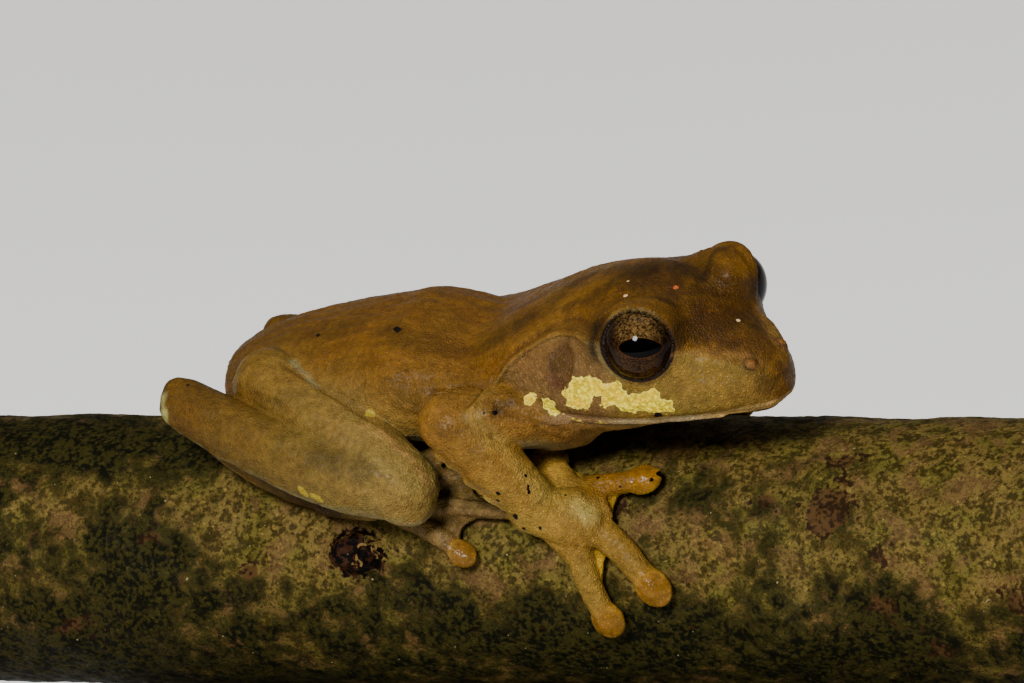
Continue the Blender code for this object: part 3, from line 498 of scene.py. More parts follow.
def head_ridges(surface):
    """Lids, canthal ridges, nostril mounds, ear folds and lips."""
    pieces = []
    for side in (-1.0, 1.0):
        pieces.append(ball("lid", eye_centre(side) - eye_axes(side)[2] * 0.15, LID_BALL, segments=48))
        ridge = [(head_point(x, side * y, z), 0.86 * r, 0.86 * r) for x, y, z, r in CANTHUS]
        pieces.append(limb("canthus", ridge, UPWARD))
        nostril = head_point(NOSTRIL_PLACE.x, side * (NOSTRIL_PLACE.y - 0.15), NOSTRIL_PLACE.z - 0.15)
        pieces.append(ball("nostril_mound", nostril, 0.42))
        fold = [(on_side(surface, side, x, z, 0.05), 0.5, 0.5) for x, z in FOLD]
        pieces.append(limb("ear_fold", fold, FORWARD))
        lip = [(on_side(surface, side, x, z + 0.45, 0.25), 0.45, 0.45) for x, z in MOUTH_LINE[2:-1]]
        pieces.append(limb("lip", lip, UPWARD))
    return pieces


def fringe(pose):
    """The forearm's outer edge: its direction, its outward side, and each lobe's share of the
    length, the arm's half width there, and how pale the lobe is."""
    elbow, wrist = joints(pose, "elbow wrist")
    along = (wrist - elbow).normalized()
    edge = along.cross(bark_normal(elbow.lerp(wrist, 0.5))).normalized()
    if edge.x > 0:
        edge = -edge
    lobes = []
    for i, pale in enumerate(FRINGE_PALE):
        share = FRINGE_START + FRINGE_LENGTH * i / (len(FRINGE_PALE) - 1)
        width = np.interp(share, (0.0, 0.45, 1.0), (ELBOW_RADIUS, FOREARM_RADIUS, WRIST_RADIUS))
        lobes.append((share, width, pale))
    return along, edge, lobes


def arm_pieces(pose):
    shoulder, elbow, wrist = joints(pose, "shoulder elbow wrist")
    pieces = [limb("upper_arm", [(shoulder, 2.7, 2.7), (elbow, ELBOW_RADIUS * 0.95, ELBOW_RADIUS * 0.95)],
                   (0, 0, 1))]
    rows = []
    for share, radius in ((0.0, ELBOW_RADIUS), (0.45, FOREARM_RADIUS), (0.8, 1.95), (1.0, WRIST_RADIUS)):
        middle = elbow.lerp(wrist, share)
        rows.append((middle + bark_normal(middle) * 0.5 * math.sin(share * math.pi), radius, radius))
    pieces.append(limb("forearm", rows, (0, 0, 1)))
    along, edge, lobes = fringe(pose)
    for share, width, pale in lobes:
        radius = FRINGE_RADIUS * (0.6 + 0.4 * pale)
        pieces.append(ball("lobe", elbow.lerp(wrist, share) + edge * (0.96 * width), 1.0,
                           (1.7 * radius, radius, radius), (along, edge, along.cross(edge)), segments=16))
    return pieces


def digit(side, row, root_radius):
    """One finger or toe along the bark, with its disc."""
    path = digit_path(row, side)
    tip_radius = row[3]
    stations = [(path[0], root_radius, root_radius * 0.95)]
    for place, taper in zip(path[1:], DIGIT_TAPER):
        stations.append((place, root_radius * taper, root_radius * taper * 0.88))
    finger = limb("digit", stations, bark_normal(path[1]), sides=24)
    out = bark_normal(path[2])
    ahead = (path[2] - path[1]).normalized()
    ahead = (ahead - out * ahead.dot(out)).normalized()
    centre = disc_place(row, side) - ahead * (0.12 * tip_radius)
    pad = ball("disc", centre, 1.0, (tip_radius * 1.2, tip_radius, DISC_THICKNESS),
               (ahead, out.cross(ahead), out))
    return [finger, pad]


def web(side, first, second, reaches, hollow):
    """A web between two neighbouring digits, out to its reach on each, with a hollow free edge."""
    rows, columns = 14, 12
    curves = [smooth_rows(line, 8) for line in (first, second)]
    lower, upper = [], []
    for i in range(rows + 1):
        for j in range(columns + 1):
            across = j / columns
            reach = reaches[0] * (1 - across) + reaches[1] * across
            along = i / rows * (reach - hollow * math.sin(math.pi * across))
            ends = []
            for curve in curves:
                place = along * (len(curve) - 1)
                low = min(int(place), len(curve) - 2)
                ends.append(curve[low] + (curve[low + 1] - curve[low]) * (place - low))
            x, angle = ends[0] * (1 - across) + ends[1] * across
            lower.append(bark_point(x, side * angle, WEB_HEIGHT - WEB_THICKNESS / 2))
            upper.append(bark_point(x, side * angle, WEB_HEIGHT + WEB_THICKNESS / 2))
    shift = len(lower)
    wide = columns + 1
    faces = []
    for i in range(rows):
        for j in range(columns):
            a = i * wide + j
            faces.append((a, a + 1, a + wide + 1, a + wide))
            faces.append((a + shift, a + wide + shift, a + wide + 1 + shift, a + 1 + shift))
    border = list(range(columns)) + [i * wide + columns for i in range(rows)]
    border += [rows * wide + j for j in range(columns, 0, -1)] + [i * wide for i in range(rows, 0, -1)]
    for i, a in enumerate(border):
        b = border[(i + 1) % len(border)]
        faces.append((a, a + shift, b + shift, b))
    return mesh_object("web", lower + upper, faces)


def webs(rows, side, shapes):
    pairs = zip(rows, rows[1:], shapes)
    return [web(side, first[:3], second[:3], *shape) for first, second, shape in pairs]


def hand_pieces(pose):
    side = pose["sign"]
    wrist, palm = joints(pose, "wrist palm")
    roots = [bark_point(x, side * angle, DIGIT_HEIGHT) for (x, angle), _, _, _ in pose["fingers"]]
    far = (roots[1] + roots[2] + roots[3]) / 3
    pieces = [limb("palm", [(wrist.lerp(palm, -0.4), WRIST_RADIUS, WRIST_RADIUS), (palm, 2.45, 1.5),
                            (far, 2.4, 1.1)], bark_normal(palm))]
    for row, radius in zip(pose["fingers"], (1.1, 1.1, 1.3, 1.2)):
        pieces += digit(side, row, radius)
    (x, angle), (far_x, far_angle) = pose["fingers"][0][:2]
    sides = {"thumb_side": [
        (bark_point(x, side * angle, 1.1), 1.7, 1.1),
        (bark_point(far_x - 0.9, side * (far_angle + 2.0), 0.8), 2.1, 0.85),
        (bark_point(far_x - 1.2, side * (far_angle - 5.0), 0.7), 1.9, 0.8)]}
    (x, angle), (far_x, far_angle) = pose["fingers"][1][:2]
    sides["finger_side"] = [
        (palm, 2.2, 1.35),
        (bark_point((x + far_x) / 2 + 0.2, side * (angle + far_angle + 2.0) / 2, 1.0), 1.25, 1.0),
        (bark_point(far_x + 0.4, side * (far_angle + 0.2), 0.85), 0.85, 0.85)]
    (x, angle), (far_x, far_angle) = pose["fingers"][3][:2]
    sides["outer_side"] = [
        (wrist, 1.7, 1.6),
        (bark_point(x - 0.65, side * (angle + 1.5), 1.35), 1.45, 1.25),
        (bark_point((x + far_x) / 2, side * ((angle + far_angle) / 2 + 0.6), 1.0), 1.15, 1.05)]
    pieces += [limb(name, stations, bark_normal(palm)) for name, stations in sides.items()]
    return pieces + webs(pose["fingers"], side, HAND_WEBS)


def foot_pieces(pose):
    side = pose["sign"]
    heel, ankle, sole = joints(pose, "heel ankle sole")
    start = ankle + (heel - ankle).normalized() * 2.0
    pieces = [limb("sole", [(start, 1.7, 1.5), (ankle, 1.9, 1.3), (sole, 2.2, 1.1)], bark_normal(sole))]
    for row, radius in zip(pose["toes"], (0.75, 0.85, 0.9, 0.95, 0.95)):
        pieces += digit(side, row, radius)
    return pieces + webs(pose["toes"], side, [FOOT_WEB] * 4)


def leg_pieces(pose):
    side = pose["sign"]
    hip, knee, heel, ankle = joints(pose, "hip knee heel ankle")
    up = (0.0, side * 0.6, 0.8)
    thigh = [(hip, 3.1, HIP_RADIUS), (hip.lerp(knee, 0.5), 3.3, 3.8), (knee, KNEE_RADIUS, KNEE_RADIUS)]
    shank = []
    for share, wide, thick in ((0.0, 2.7, KNEE_RADIUS), (0.3, SHANK_RADIUS, 3.0), (0.7, 2.4, 2.5),
                               (1.0, HEEL_RADIUS, HEEL_RADIUS)):
        outward = Vector((0.0, side * 0.75, -0.6)) * math.sin(share * math.pi)
        shank.append((knee.lerp(heel, share) + outward, wide, thick))
    tarsus = [(heel, HEEL_RADIUS * 0.9, HEEL_RADIUS * 0.8)]
    for share in (0.25, 0.5, 0.75):
        drop = Vector((0.0, 0.0, -TARSUS_BOW)) * math.sin(share * math.pi)
        tarsus.append((heel.lerp(ankle, share) + drop, TARSUS_RADIUS, TARSUS_RADIUS))
    tarsus.append((ankle, TARSUS_RADIUS, TARSUS_RADIUS * 0.9))
    corners = [ball("knee_corner", knee + Vector((0.42, side * 0.18, -0.79)), 2.35),
               ball("heel_corner", heel + Vector((-0.4, -side * 0.17, 0.75)), 1.4)]
    return [limb("thigh", thigh, up), limb("shank", shank, up), limb("tarsus", tarsus, up)] + corners


def raw_skin():
    core = fuse("core", trunk_pieces(), CORE_VOXEL, CORE_ROUNDS)
    pieces = head_ridges(surface_of(core)) + [core]
    for i in range(TUBERCLES):
        share = (i + 0.5) / TUBERCLES - 0.5
        pieces.append(ball("tubercle", Vector((-22.5 + 6.0 * share ** 2, 0.7 + 6.0 * share, 5.4)), 0.4,
                           segments=12))
    for pose in (RIGHT, LEFT):
        pieces += arm_pieces(pose) + hand_pieces(pose) + foot_pieces(pose) + leg_pieces(pose)
    return fuse("frog", pieces, SKIN_VOXEL, SKIN_ROUNDS)


def rising(values, low, high):
    """0 up to low, 1 from high on, and smooth between."""
    t = np.clip((values - low) / (high - low), 0.0, 1.0)
    return t * t * (3.0 - 2.0 * t)


def within(values, low, full, fading, gone):
    """0 up to low, 1 from full to fading, 0 again from gone on."""
    return rising(values, low, full) * (1.0 - rising(values, fading, gone))


def bell(values, width):
    return np.exp(-(values / width) ** 2)


def away_from(points, place):
    return np.linalg.norm(points - np.array(place), axis=1)


def noise_at(points, per_mm, seed=0.0):
    """Smooth noise from -1 to 1 at each point."""
    return np.array([noise.noise(p) for p in (points * per_mm + seed).tolist()])


def beside(line, u, v):
    """Signed distance of points (u, v) from a line in their plane, and how far along it they are."""
    curve = smooth_rows(line, 10)[:, :2]
    gap = np.full(len(u), 1e9)
    side = np.ones(len(u))
    along = np.zeros(len(u))
    for i in range(len(curve) - 1):
        d = curve[i + 1] - curve[i]
        t = np.clip(((u - curve[i][0]) * d[0] + (v - curve[i][1]) * d[1]) / (d @ d), 0, 1)
        du, dv = u - curve[i][0] - t * d[0], v - curve[i][1] - t * d[1]
        away = np.hypot(du, dv)
        closer = away < gap
        gap[closer] = away[closer]
        side[closer] = np.sign(d[0] * dv - d[1] * du)[closer]
        along[closer] = ((i + t) / (len(curve) - 1))[closer]
    return gap * side, along


def near_path(points, path):
    """Distance of points from a path in space, and how far along it they are."""
    path = np.array(path)
    gap = np.full(len(points), 1e9)
    along = np.zeros(len(points))
    for i in range(len(path) - 1):
        d = path[i + 1] - path[i]
        t = np.clip((points - path[i]) @ d / (d @ d), 0, 1)
        away = np.linalg.norm(points - path[i] - t[:, None] * d, axis=1)
        closer = away < gap
        gap[closer] = away[closer]
        along[closer] = ((i + t) / (len(path) - 1))[closer]
    return gap, along


class Surface:
    """A mesh's points in world, head and branch coordinates, with their normals."""

    def __init__(self, obj):
        self.mesh = obj.data
        count = len(self.mesh.vertices)
        self.points = np.zeros(count * 3)
        self.mesh.vertices.foreach_get("co", self.points)
        self.points = self.points.reshape(-1, 3)
        self.measure()

    def measure(self):
        count = len(self.points)
        self.mesh.vertices.foreach_set("co", self.points.ravel())
        self.mesh.update()
        self.normals = np.zeros(count * 3, dtype=np.float32)
        self.mesh.vertex_normals.foreach_get("vector", self.normals)
        self.normals = self.normals.reshape(-1, 3).astype(float)
        axes = np.array([FORWARD, LEFTWARD, UPWARD])
        self.head = (self.points - np.array(SNOUT_TIP)) @ axes.T
        depth = self.points[:, 2] + PERCH_RADIUS
        angle = np.degrees(np.arctan2(self.points[:, 1], depth))
        height = np.hypot(self.points[:, 1], depth) - PERCH_RADIUS
        self.bark = np.stack([self.points[:, 0], angle, height], axis=1)

    def push(self, amount):
        self.points = self.points + self.normals * amount[:, None]
        self.measure()


def soften(obj):
    """Eases the forms round the eyes and along the snout's edges, where they meet the head."""
    points = np.empty(len(obj.data.vertices) * 3)
    obj.data.vertices.foreach_get("co", points)
    points = points.reshape(-1, 3)
    weight = np.zeros(len(points))
    for side in (-1.0, 1.0):
        away = away_from(points, eye_centre(side))
        weight = np.maximum(weight, rising(LID_BALL + SOFT_REACH - away, 0.0, 1.6))
        ridge = [head_point(x, side * y, z) for x, y, z, _ in CANTHUS]
        weight = np.maximum(weight, 0.3 * rising(1.9 - near_path(points, ridge)[0], 0.0, 0.8))
    ends = np.empty(len(obj.data.edges) * 2, dtype=np.int64)
    obj.data.edges.foreach_get("vertices", ends)
    first, second = ends.reshape(-1, 2)[(weight[ends] > 0).reshape(-1, 2).all(axis=1)].T
    size = len(points)
    number = np.maximum(np.bincount(first, minlength=size) + np.bincount(second, minlength=size), 1)
    for _ in range(SOFT_ROUNDS):
        for axis in range(3):
            line = points[:, axis]
            total = np.bincount(first, line[second], size) + np.bincount(second, line[first], size)
            points[:, axis] = line + (total / number - line) * weight * 0.5 * (total != 0.0)
    obj.data.vertices.foreach_set("co", points.ravel())


def refine_head(obj):
    """Halves the faces of the head, which carries the finest forms."""
    data = bmesh.new()
    data.from_mesh(obj.data)
    edges = set()
    for face in data.faces:
        place = face.calc_center_median() - SNOUT_TIP
        if place.dot(FORWARD) > -23.0 and place.dot(UPWARD) > -8.0 and abs(place.dot(LEFTWARD)) < 12.0:
            edges.update(face.edges)
    bmesh.ops.subdivide_edges(data, edges=list(edges), cuts=1, use_grid_fill=True)
    data.to_mesh(obj.data)
    data.free()


def eye_coordinates(skin, side):
    """How far points lie from an eye's centre: toward the snout, up, out, and in all."""
    away = skin.points - np.array(eye_centre(side))
    ahead, rise, out = (away @ np.array(axis) for axis in eye_axes(side))
    return ahead, rise, out, np.linalg.norm(away, axis=1)


def lid_place(skin, side):
    """Distance outside an eye's opening over the lids, or a large number away from the eye."""
    ahead, rise, out, reach = eye_coordinates(skin, side)
    cover = np.where((rise > 0) & (side > 0), FAR_LID_COVER, 1.0)
    ratio = np.hypot(ahead / LID_HALF_WIDTH, rise / (LID_HALF_HEIGHT * cover))
    place = (ratio - 1.0) * (LID_HALF_WIDTH + LID_HALF_HEIGHT) / 2
    place[(out < -0.2) | (reach > LID_BALL + SOFT_REACH)] = FAR_AWAY
    return place


def mouth_height(x):
    line = smooth_rows(MOUTH_LINE, 10)[::-1]
    return np.interp(x, line[:, 0], line[:, 1])


def ear_place(x, z):
    """Distance from the ear's middle, 1 at its edge."""
    return np.hypot((x - EAR_PLACE[0]) / EAR_SIZE[0], (z - EAR_PLACE[1]) / EAR_SIZE[1])


def head_share(skin):
    """1 over head and throat, 0 over trunk and arms, and smooth between."""
    middle = [head_point(-20.0, 0.0, -3.5), head_point(-12.0, 0.0, -3.0), head_point(-4.0, 0.0, -1.5)]
    gap, along = near_path(skin.points, middle)
    head = (np.maximum(gap, 2.0) / np.interp(along, [0.0, 0.5, 1.0], [8.5, 7.5, 4.0])) ** -7.0
    others = np.zeros(len(gap))
    for start, end, radius, _, _ in bones():
        others += (np.maximum(near_path(skin.points, [start, end])[0], 0.3 * radius) / radius) ** -7.0
    return head / (head + others)


def carve_head(skin):
    """Mouth, lips, ear folds, ears, nostrils, hollows round the eyes and creases of the throat."""
    x, y, z = skin.head.T
    share = head_share(skin)
    near = rising(x, -24.0, -21.5)
    push = np.zeros(len(x))
    level = z - mouth_height(x)
    mouth = rising(x, -19.5, -17.0)
    flare = rising(np.abs(y), 0.2, 1.2)
    push -= 0.20 * bell(level + 0.1, 0.14) * mouth * (0.35 + 0.65 * rising(x, -16.0, -12.0))
    push += 0.14 * bell(level - 0.55, 0.40) * mouth * flare
    push -= 0.10 * bell(level - 1.5, 0.45) * mouth * within(x, -15.0, -12.0, -8.0, -5.0)
    throat = rising(-level, 0.15, 1.2) * near * rising(share, 0.3, 0.6)
    wrinkle = np.stack([x * 0.35, y * 0.55, (z - 0.35 * x) * 1.9], axis=1)
    push += throat * 0.17 * noise_at(wrinkle, 1.0, 3.0)
    push += throat * 0.06 * noise_at(wrinkle, 2.3, 9.0)
    flank = rising(np.abs(y), 2.0, 4.0)
    over, along = beside(FOLD, x, z)
    ends = within(along, 0.0, 0.12, 0.9, 1.0)
    behind = np.where(over < 0, 1.0, 0.0)
    push += flank * ends * 0.20 * bell(over - 0.05, 0.22)
    push -= flank * ends * 0.24 * bell(over + 0.55, 0.35)
    push -= flank * ends * 0.16 * behind * bell(over + 1.2, 1.3)
    drum = ear_place(x, z)
    push += flank * (0.06 * bell(drum - 1.0, 0.14) - 0.09 * rising(1.0 - drum, 0.0, 0.35))
    for side in (-1.0, 1.0):
        place = skin.points - np.array(head_place(NOSTRIL_PLACE, side))
        height = place @ np.array(head_direction(NOSTRIL_AXIS, side))
        off = np.sqrt(np.maximum((place ** 2).sum(axis=1) - height ** 2, 0.0))
        facing = np.where((height > -0.5) & (off < 2.0), 1.0, 0.0)
        push += facing * (0.05 * bell(off - 0.56, 0.12) - 0.06 * bell(off, 0.36))
        hole = place - np.array(FORWARD * 0.46 - UPWARD * 0.02)
        push -= facing * 0.22 * bell(np.linalg.norm(hole, axis=1), 0.16)
        lid = lid_place(skin, side)
        rear = rising(-eye_coordinates(skin, side)[0], 0.0, 2.2)
        push -= 0.22 * bell(lid - 0.7, 0.4) * rear * np.where(lid < FAR_AWAY, 1.0, 0.0)
        toward, upward, outward = eye_axes(side)
        corner = 0.2 if side < 0 else 0.85
        bumps = ((0.0, 2.9, 0.34, 1.7), (1.9, 2.4, corner, 1.4), (-2.2, 2.3, 0.22, 1.0))
        for shift, height, amount, width in bumps:
            brow = eye_centre(side) + toward * shift + upward * height - outward * 0.5
            push += amount * bell(away_from(skin.points, brow), width)
    skin.push(push)


def open_lids(skin):
    """Sinks the skin within each eye's opening behind the eye, and gives its edge a thin round rim."""
    behind, over = EYE_RADIUS - RIM_DEPTH, EYE_RADIUS + LID_THICKNESS
    for side in (-1.0, 1.0):
        place = lid_place(skin, side)
        _, rise, _, reach = eye_coordinates(skin, side)
        rim = np.sqrt(np.clip(1.0 - (1.0 - np.clip(place / RIM_WIDTH, 0.0, 1.0)) ** 2, 0.0, 1.0))
        margin = LID_MARGIN + BROW_MARGIN * rising(rise, 0.6, 2.4)
        target = np.where(place < 0.0, behind, behind + (RIM_DEPTH + margin) * rim)
        slope = np.maximum(target, np.minimum(reach, target + 1.2 * (place - RIM_WIDTH)))
        target = np.where(place > RIM_WIDTH, slope, target)
        centre = np.array(eye_centre(side))
        sunk = (place >= LID_WIDTH) & (place < FAR_AWAY) & (reach < over)
        target = np.where(sunk, over, target)
        hold = np.where(sunk, 1.0, 1.0 - rising(place, 0.3, LID_WIDTH))
        wanted = centre + (skin.points - centre) * (target / np.maximum(reach, 0.1))[:, None]
        change = ((place < LID_WIDTH) | sunk)[:, None]
        skin.points = np.where(change, skin.points + (wanted - skin.points) * hold[:, None], skin.points)
    skin.measure()


def paint(red, green, blue, gain=SKIN_GAIN):
    """The linear colour of a surface that looks like the given colour, 0 to 255, in the studio's light."""
    return (np.array((red, green, blue)) / 255.0) ** 2.2 * gain


DEEP_BROWN = paint(60, 36, 12)
BACK_BROWN = paint(122, 80, 24)
BACK_REAR = paint(106, 72, 24)
LORE = paint(134, 101, 40)
SNOUT_SIDE = paint(120, 84, 30)
CHEEK = paint(122, 86, 46)
EAR = paint(84, 56, 30)
EAR_LOW = paint(98, 61, 38)
LIP = paint(186, 152, 112)
LIP_FRONT = paint(190, 142, 76)
LIP_REAR = paint(146, 104, 66)
THROAT = paint(142, 102, 50)
BELLY = paint(196, 176, 128)
# Pale lower lid, and the painted highlight on the upper lid's rim
LID_EDGE_AND_HIGHLIGHT = paint(140, 124, 80)
ARM = paint(136, 92, 32)
FOREARM = paint(156, 117, 48)
HAND = paint(140, 100, 38)
FINGER = paint(146, 110, 44)
FINGER_TWO = paint(140, 92, 16)
DISC = paint(138, 92, 28)
WEB = paint(176, 128, 20)
TOE_WEB = paint(104, 78, 36)
THIGH = paint(128, 94, 38)
KNEE = paint(146, 114, 58)
SHANK = paint(106, 71, 23)
SHANK_KNEE = paint(122, 96, 40)
# Tarsus: brown, darkened into the shade of the shank over it: painted shade.
TARSUS_IN_SHADE = paint(50, 29, 11)
TOE = paint(118, 90, 50)
FRINGE_TIP = paint(206, 186, 108)
GROIN = paint(142, 134, 96)
PINK = paint(176, 116, 76)

# Creases of the skin on the frog's right, seen side: course in millimetres, depth, width, and the share of
# painted shade along it
CREASES = [
    ([(-2.7, -8.3, 6.9), (-1.2, -8.3, 6.9), (0.4, -8.1, 7.1), (2.0, -8.2, 7.3), (3.3, -10.2, 6.9),
      (4.1, -10.8, 6.3)], 0.38, 0.28, 0.75),
    ([(2.4, -11.6, 6.2), (2.9, -11.7, 5.4), (3.6, -11.4, 4.5)], 0.16, 0.2, 0.3),
    ([(4.2, -10.7, 6.4), (5.6, -10.4, 5.7), (7.2, -9.9, 4.9), (8.6, -9.0, 3.9)], 0.16, 0.22, 0.3),
    ([(6.3, -10.3, 5.1), (7.2, -9.6, 3.9), (8.2, -8.7, 3.1)], 0.14, 0.2, 0.25),
    ([(6.0, -11.9, -1.1), (6.8, -11.5, -0.7), (7.5, -10.5, -0.6)], 0.1, 0.18, 0.25),
    ([(9.2, -11.1, -3.8), (9.6, -10.9, -4.7)], 0.16, 0.22, 0.3),
    ([(-15.4, -5.8, 8.0), (-13.7, -6.5, 7.6), (-11.2, -7.8, 6.8), (-9.2, -8.6, 6.0), (-7.2, -9.4, 5.1),
      (-4.5, -10.3, 3.7)], 0.2, 0.3, 0.35),
    ([(-20.1, -5.5, 6.0), (-17.3, -7.6, 6.3), (-15.3, -8.6, 6.2), (-13.7, -9.5, 5.7)], 0.14, 0.28, 0.25),
    ([(-7.0, -13.1, 2.9), (-5.1, -13.5, 2.2)], 0.1, 0.13, 0.35),
]

# Darker and lighter places of the skin, markings and a few places of painted shade and painted light:
# course, reach, and the share of its colour that stays
TONES_AND_PAINTED_LIGHT = [
    # Painted shade in the hollow along the back, which carve_body also sinks.
    ([(-7.0, -3.3, 9.8), (-4.4, -4.9, 9.5), (-1.8, -4.6, 9.2), (2.5, -5.0, 10.2), (5.0, -4.8, 11.2)],
     1.1, 0.66),
    ([(1.2, 0.0, 10.0), (2.9, -1.1, 10.8), (4.5, -1.1, 11.6), (6.5, -0.6, 12.4)], 0.9, 0.7),
    ([(9.0, -7.0, 12.4), (9.2, -6.8, 12.6)], 0.5, 0.62),
    ([(9.0, -5.7, 13.0), (9.3, -5.5, 13.1)], 0.6, 0.66),
    ([(10.6, -5.6, 13.5), (11.6, -5.2, 13.9)], 0.8, 0.66),
    ([(8.2, -2.4, 13.2), (9.4, -1.6, 13.7)], 0.8, 0.6),
    ([(11.4, -2.0, 14.3), (14.4, -3.0, 14.7)], 1.2, 0.55),
    ([(12.5, -4.4, 14.3), (13.5, -4.6, 14.4)], 0.9, 0.62),
    ([(19.2, 0.4, 14.9), (19.2, -1.2, 14.3), (18.5, -2.4, 13.5)], 0.45, 0.5),
    ([(15.0, -1.0, 14.6), (17.5, -1.8, 14.2)], 1.0, 0.75),
    ([(-3.0, -1.0, 10.6), (4.0, -1.5, 10.9)], 0.7, 0.85),
    ([(5.1, -9.9, 7.4), (5.3, -9.9, 7.5)], 0.8, 0.6), ([(3.9, -10.8, 6.6), (4.3, -10.6, 6.8)], 0.7, 0.65),
    ([(0.0, -12.4, 5.7), (0.6, -12.4, 5.2)], 0.9, 0.74),
    ([(4.5, -4.6, 11.6), (6.1, -4.7, 12.2), (7.9, -3.0, 13.2)], 1.2, 0.74),
    ([(13.5, -2.6, 14.7), (14.8, -2.9, 14.7)], 1.2, 0.75),
    ([(20.6, -0.9, 14.1), (21.3, -0.8, 13.5)], 0.8, 1.35),
    ([(-14.5, -1.8, 8.9), (-12.8, -2.0, 9.2), (-11.0, -2.0, 9.6)], 1.3, 0.8),
    ([(-6.5, -5.8, 8.9), (-4.8, -5.5, 9.3)], 1.2, 1.2),
    ([(-4.2, -8.2, 6.6), (-2.6, -8.9, 6.0)], 0.9, 0.75),
    ([(24.6, -8.1, 7.4), (25.3, -7.8, 7.3)], 0.7, 0.65),
    ([(-7.4, -10.0, 5.0), (-5.6, -10.4, 4.3)], 0.8, 1.3),
    ([(-11.0, -12.2, 3.9), (-9.0, -12.9, 3.3), (-7.0, -13.2, 2.6)], 1.2, 0.66),
    ([(19.0, -9.4, 5.35), (21.3, -8.4, 5.3), (23.0, -7.6, 5.4)], 0.4, 1.7),
    ([(20.35, -4.95, 12.2), (20.45, -4.9, 12.15)], 0.16, 2.4),
    # Painted shadow of the forearm on the foot beneath it.
    ([(-0.6, -8.1, -2.6), (1.4, -8.3, -2.9)], 0.7, 0.4),
    # Painted light on the fifth toe's root, in the shade under the knee.
    ([(-4.0, -9.5, -4.2), (-3.2, -9.7, -4.6)], 0.7, 1.7),
]

# Places of the right limbs and groin in other colours, the first a painted highlight: course, reach, colour
# and share
EDGES = [
    # Painted highlight along the forearm's lit side.
    ([(1.9, -11.5, 6.2), (2.6, -11.7, 5.7), (3.9, -11.3, 4.2), (5.3, -11.5, 2.2), (6.8, -11.2, -0.1)],
     1.4, paint(180, 142, 72), 0.42),
    ([(9.8, -10.2, -2.4), (9.0, -10.4, -1.8)], 1.4, paint(184, 150, 80), 0.85),
    ([(5.1, -5.2, -0.3), (6.0, -6.6, -0.5)], 2.1, paint(190, 140, 54), 0.75),
    ([(-7.7, -10.2, 5.1), (-5.8, -10.5, 4.3), (-3.8, -11.3, 3.3), (-2.3, -12.0, 1.9), (-2.0, -12.1, 0.1)],
     0.7, PINK, 0.4),
    ([(-15.0, -5.0, 7.9), (-13.3, -6.6, 7.5), (-12.2, -7.4, 7.1)], 0.5, GROIN, 0.6),
    ([(-24.9, -7.9, 6.5), (-24.8, -8.5, 5.6), (-24.9, -8.4, 4.6)], 0.55, paint(196, 182, 110), 0.8),
    ([(-22.3, 0.8, 6.6), (-22.3, -3.0, 4.8)], 0.9, PINK, 0.5),
    ([(-20.0, -9.2, 4.2), (-14.0, -11.3, 2.0), (-9.0, -12.6, -0.6), (-4.8, -13.3, -2.3)], 0.6, PINK, 0.3),
]


def crease_share(skin, course, width):
    """How deep points lie in a crease: 1 along its course, fading out at its ends and sides."""
    gap, along = near_path(skin.points, course)
    return bell(gap, width) * within(along, -0.02, 0.08, 0.92, 1.02)


def carve_body(skin):
    """Folds of trunk and limbs, and a fine unevenness all over."""
    x, y, z = skin.points.T
    push = np.zeros(len(x))
    trunk = rising(-skin.head[:, 0], 17.0, 22.0)
    back = rising(skin.normals[:, 2], 0.2, 0.7) * trunk
    streak = np.stack([x * 0.25, y * 1.3, z * 0.6], axis=1)
    push += back * 0.10 * noise_at(streak, 1.0, 5.0)
    flank = trunk * (1.0 - back)
    pleat = np.stack([x * 0.5, y * 0.9, z * 1.5], axis=1)
    push += flank * 0.08 * noise_at(pleat, 1.0, 7.0)
    for course, depth, width, _ in CREASES:
        push -= depth * crease_share(skin, course, width)
        push += 0.35 * depth * crease_share(skin, course, 3.0 * width)
    push -= 0.16 * crease_share(skin, TONES_AND_PAINTED_LIGHT[0][0], 1.2)
    push += back * (0.22 * bell(x + 6.2, 1.3) - 0.18 * bell(x + 0.5, 2.6) - 0.1 * bell(x + 11.0, 2.6))
    push += 0.05 * noise_at(skin.points, 0.55, 1.0)
    push += 0.028 * noise_at(skin.points, 1.7, 2.0)
    push += 0.026 * noise_at(skin.points, 3.2, 4.0)
    skin.push(push)


def carve_digits(skin):
    """A rim and a groove round the top of each disc."""
    push = np.zeros(len(skin.points))
    for pose in (RIGHT, LEFT):
        for row in pose["fingers"] + pose["toes"]:
            tip = np.array(disc_place(row, pose["sign"]))
            out = np.array(bark_normal(tip))
            away = skin.points - tip
            close = np.linalg.norm(away, axis=1) < 4.0
            rise = away[close] @ out
            off = np.linalg.norm(away[close] - rise[:, None] * out, axis=1) / row[3]
            upper = rising(rise, -0.25, 0.15)
            push[close] += upper * (0.03 * bell(off - 0.98, 0.14) - 0.02 * bell(off - 0.78, 0.12))
    skin.push(push)


def rest_on_bark(skin):
    """Keeps the undersides from lying deeper than a little under the bark."""
    low = skin.bark[:, 2] < -SKIN_UNDER_BARK
    out = np.stack([np.zeros(len(low)), skin.points[:, 1], skin.points[:, 2] + PERCH_RADIUS], axis=1)
    out /= np.maximum(np.linalg.norm(out, axis=1), 0.01)[:, None]
    lifted = skin.points - out * (SKIN_UNDER_BARK + skin.bark[:, 2])[:, None]
    skin.points = np.where(low[:, None], lifted, skin.points)
    skin.measure()


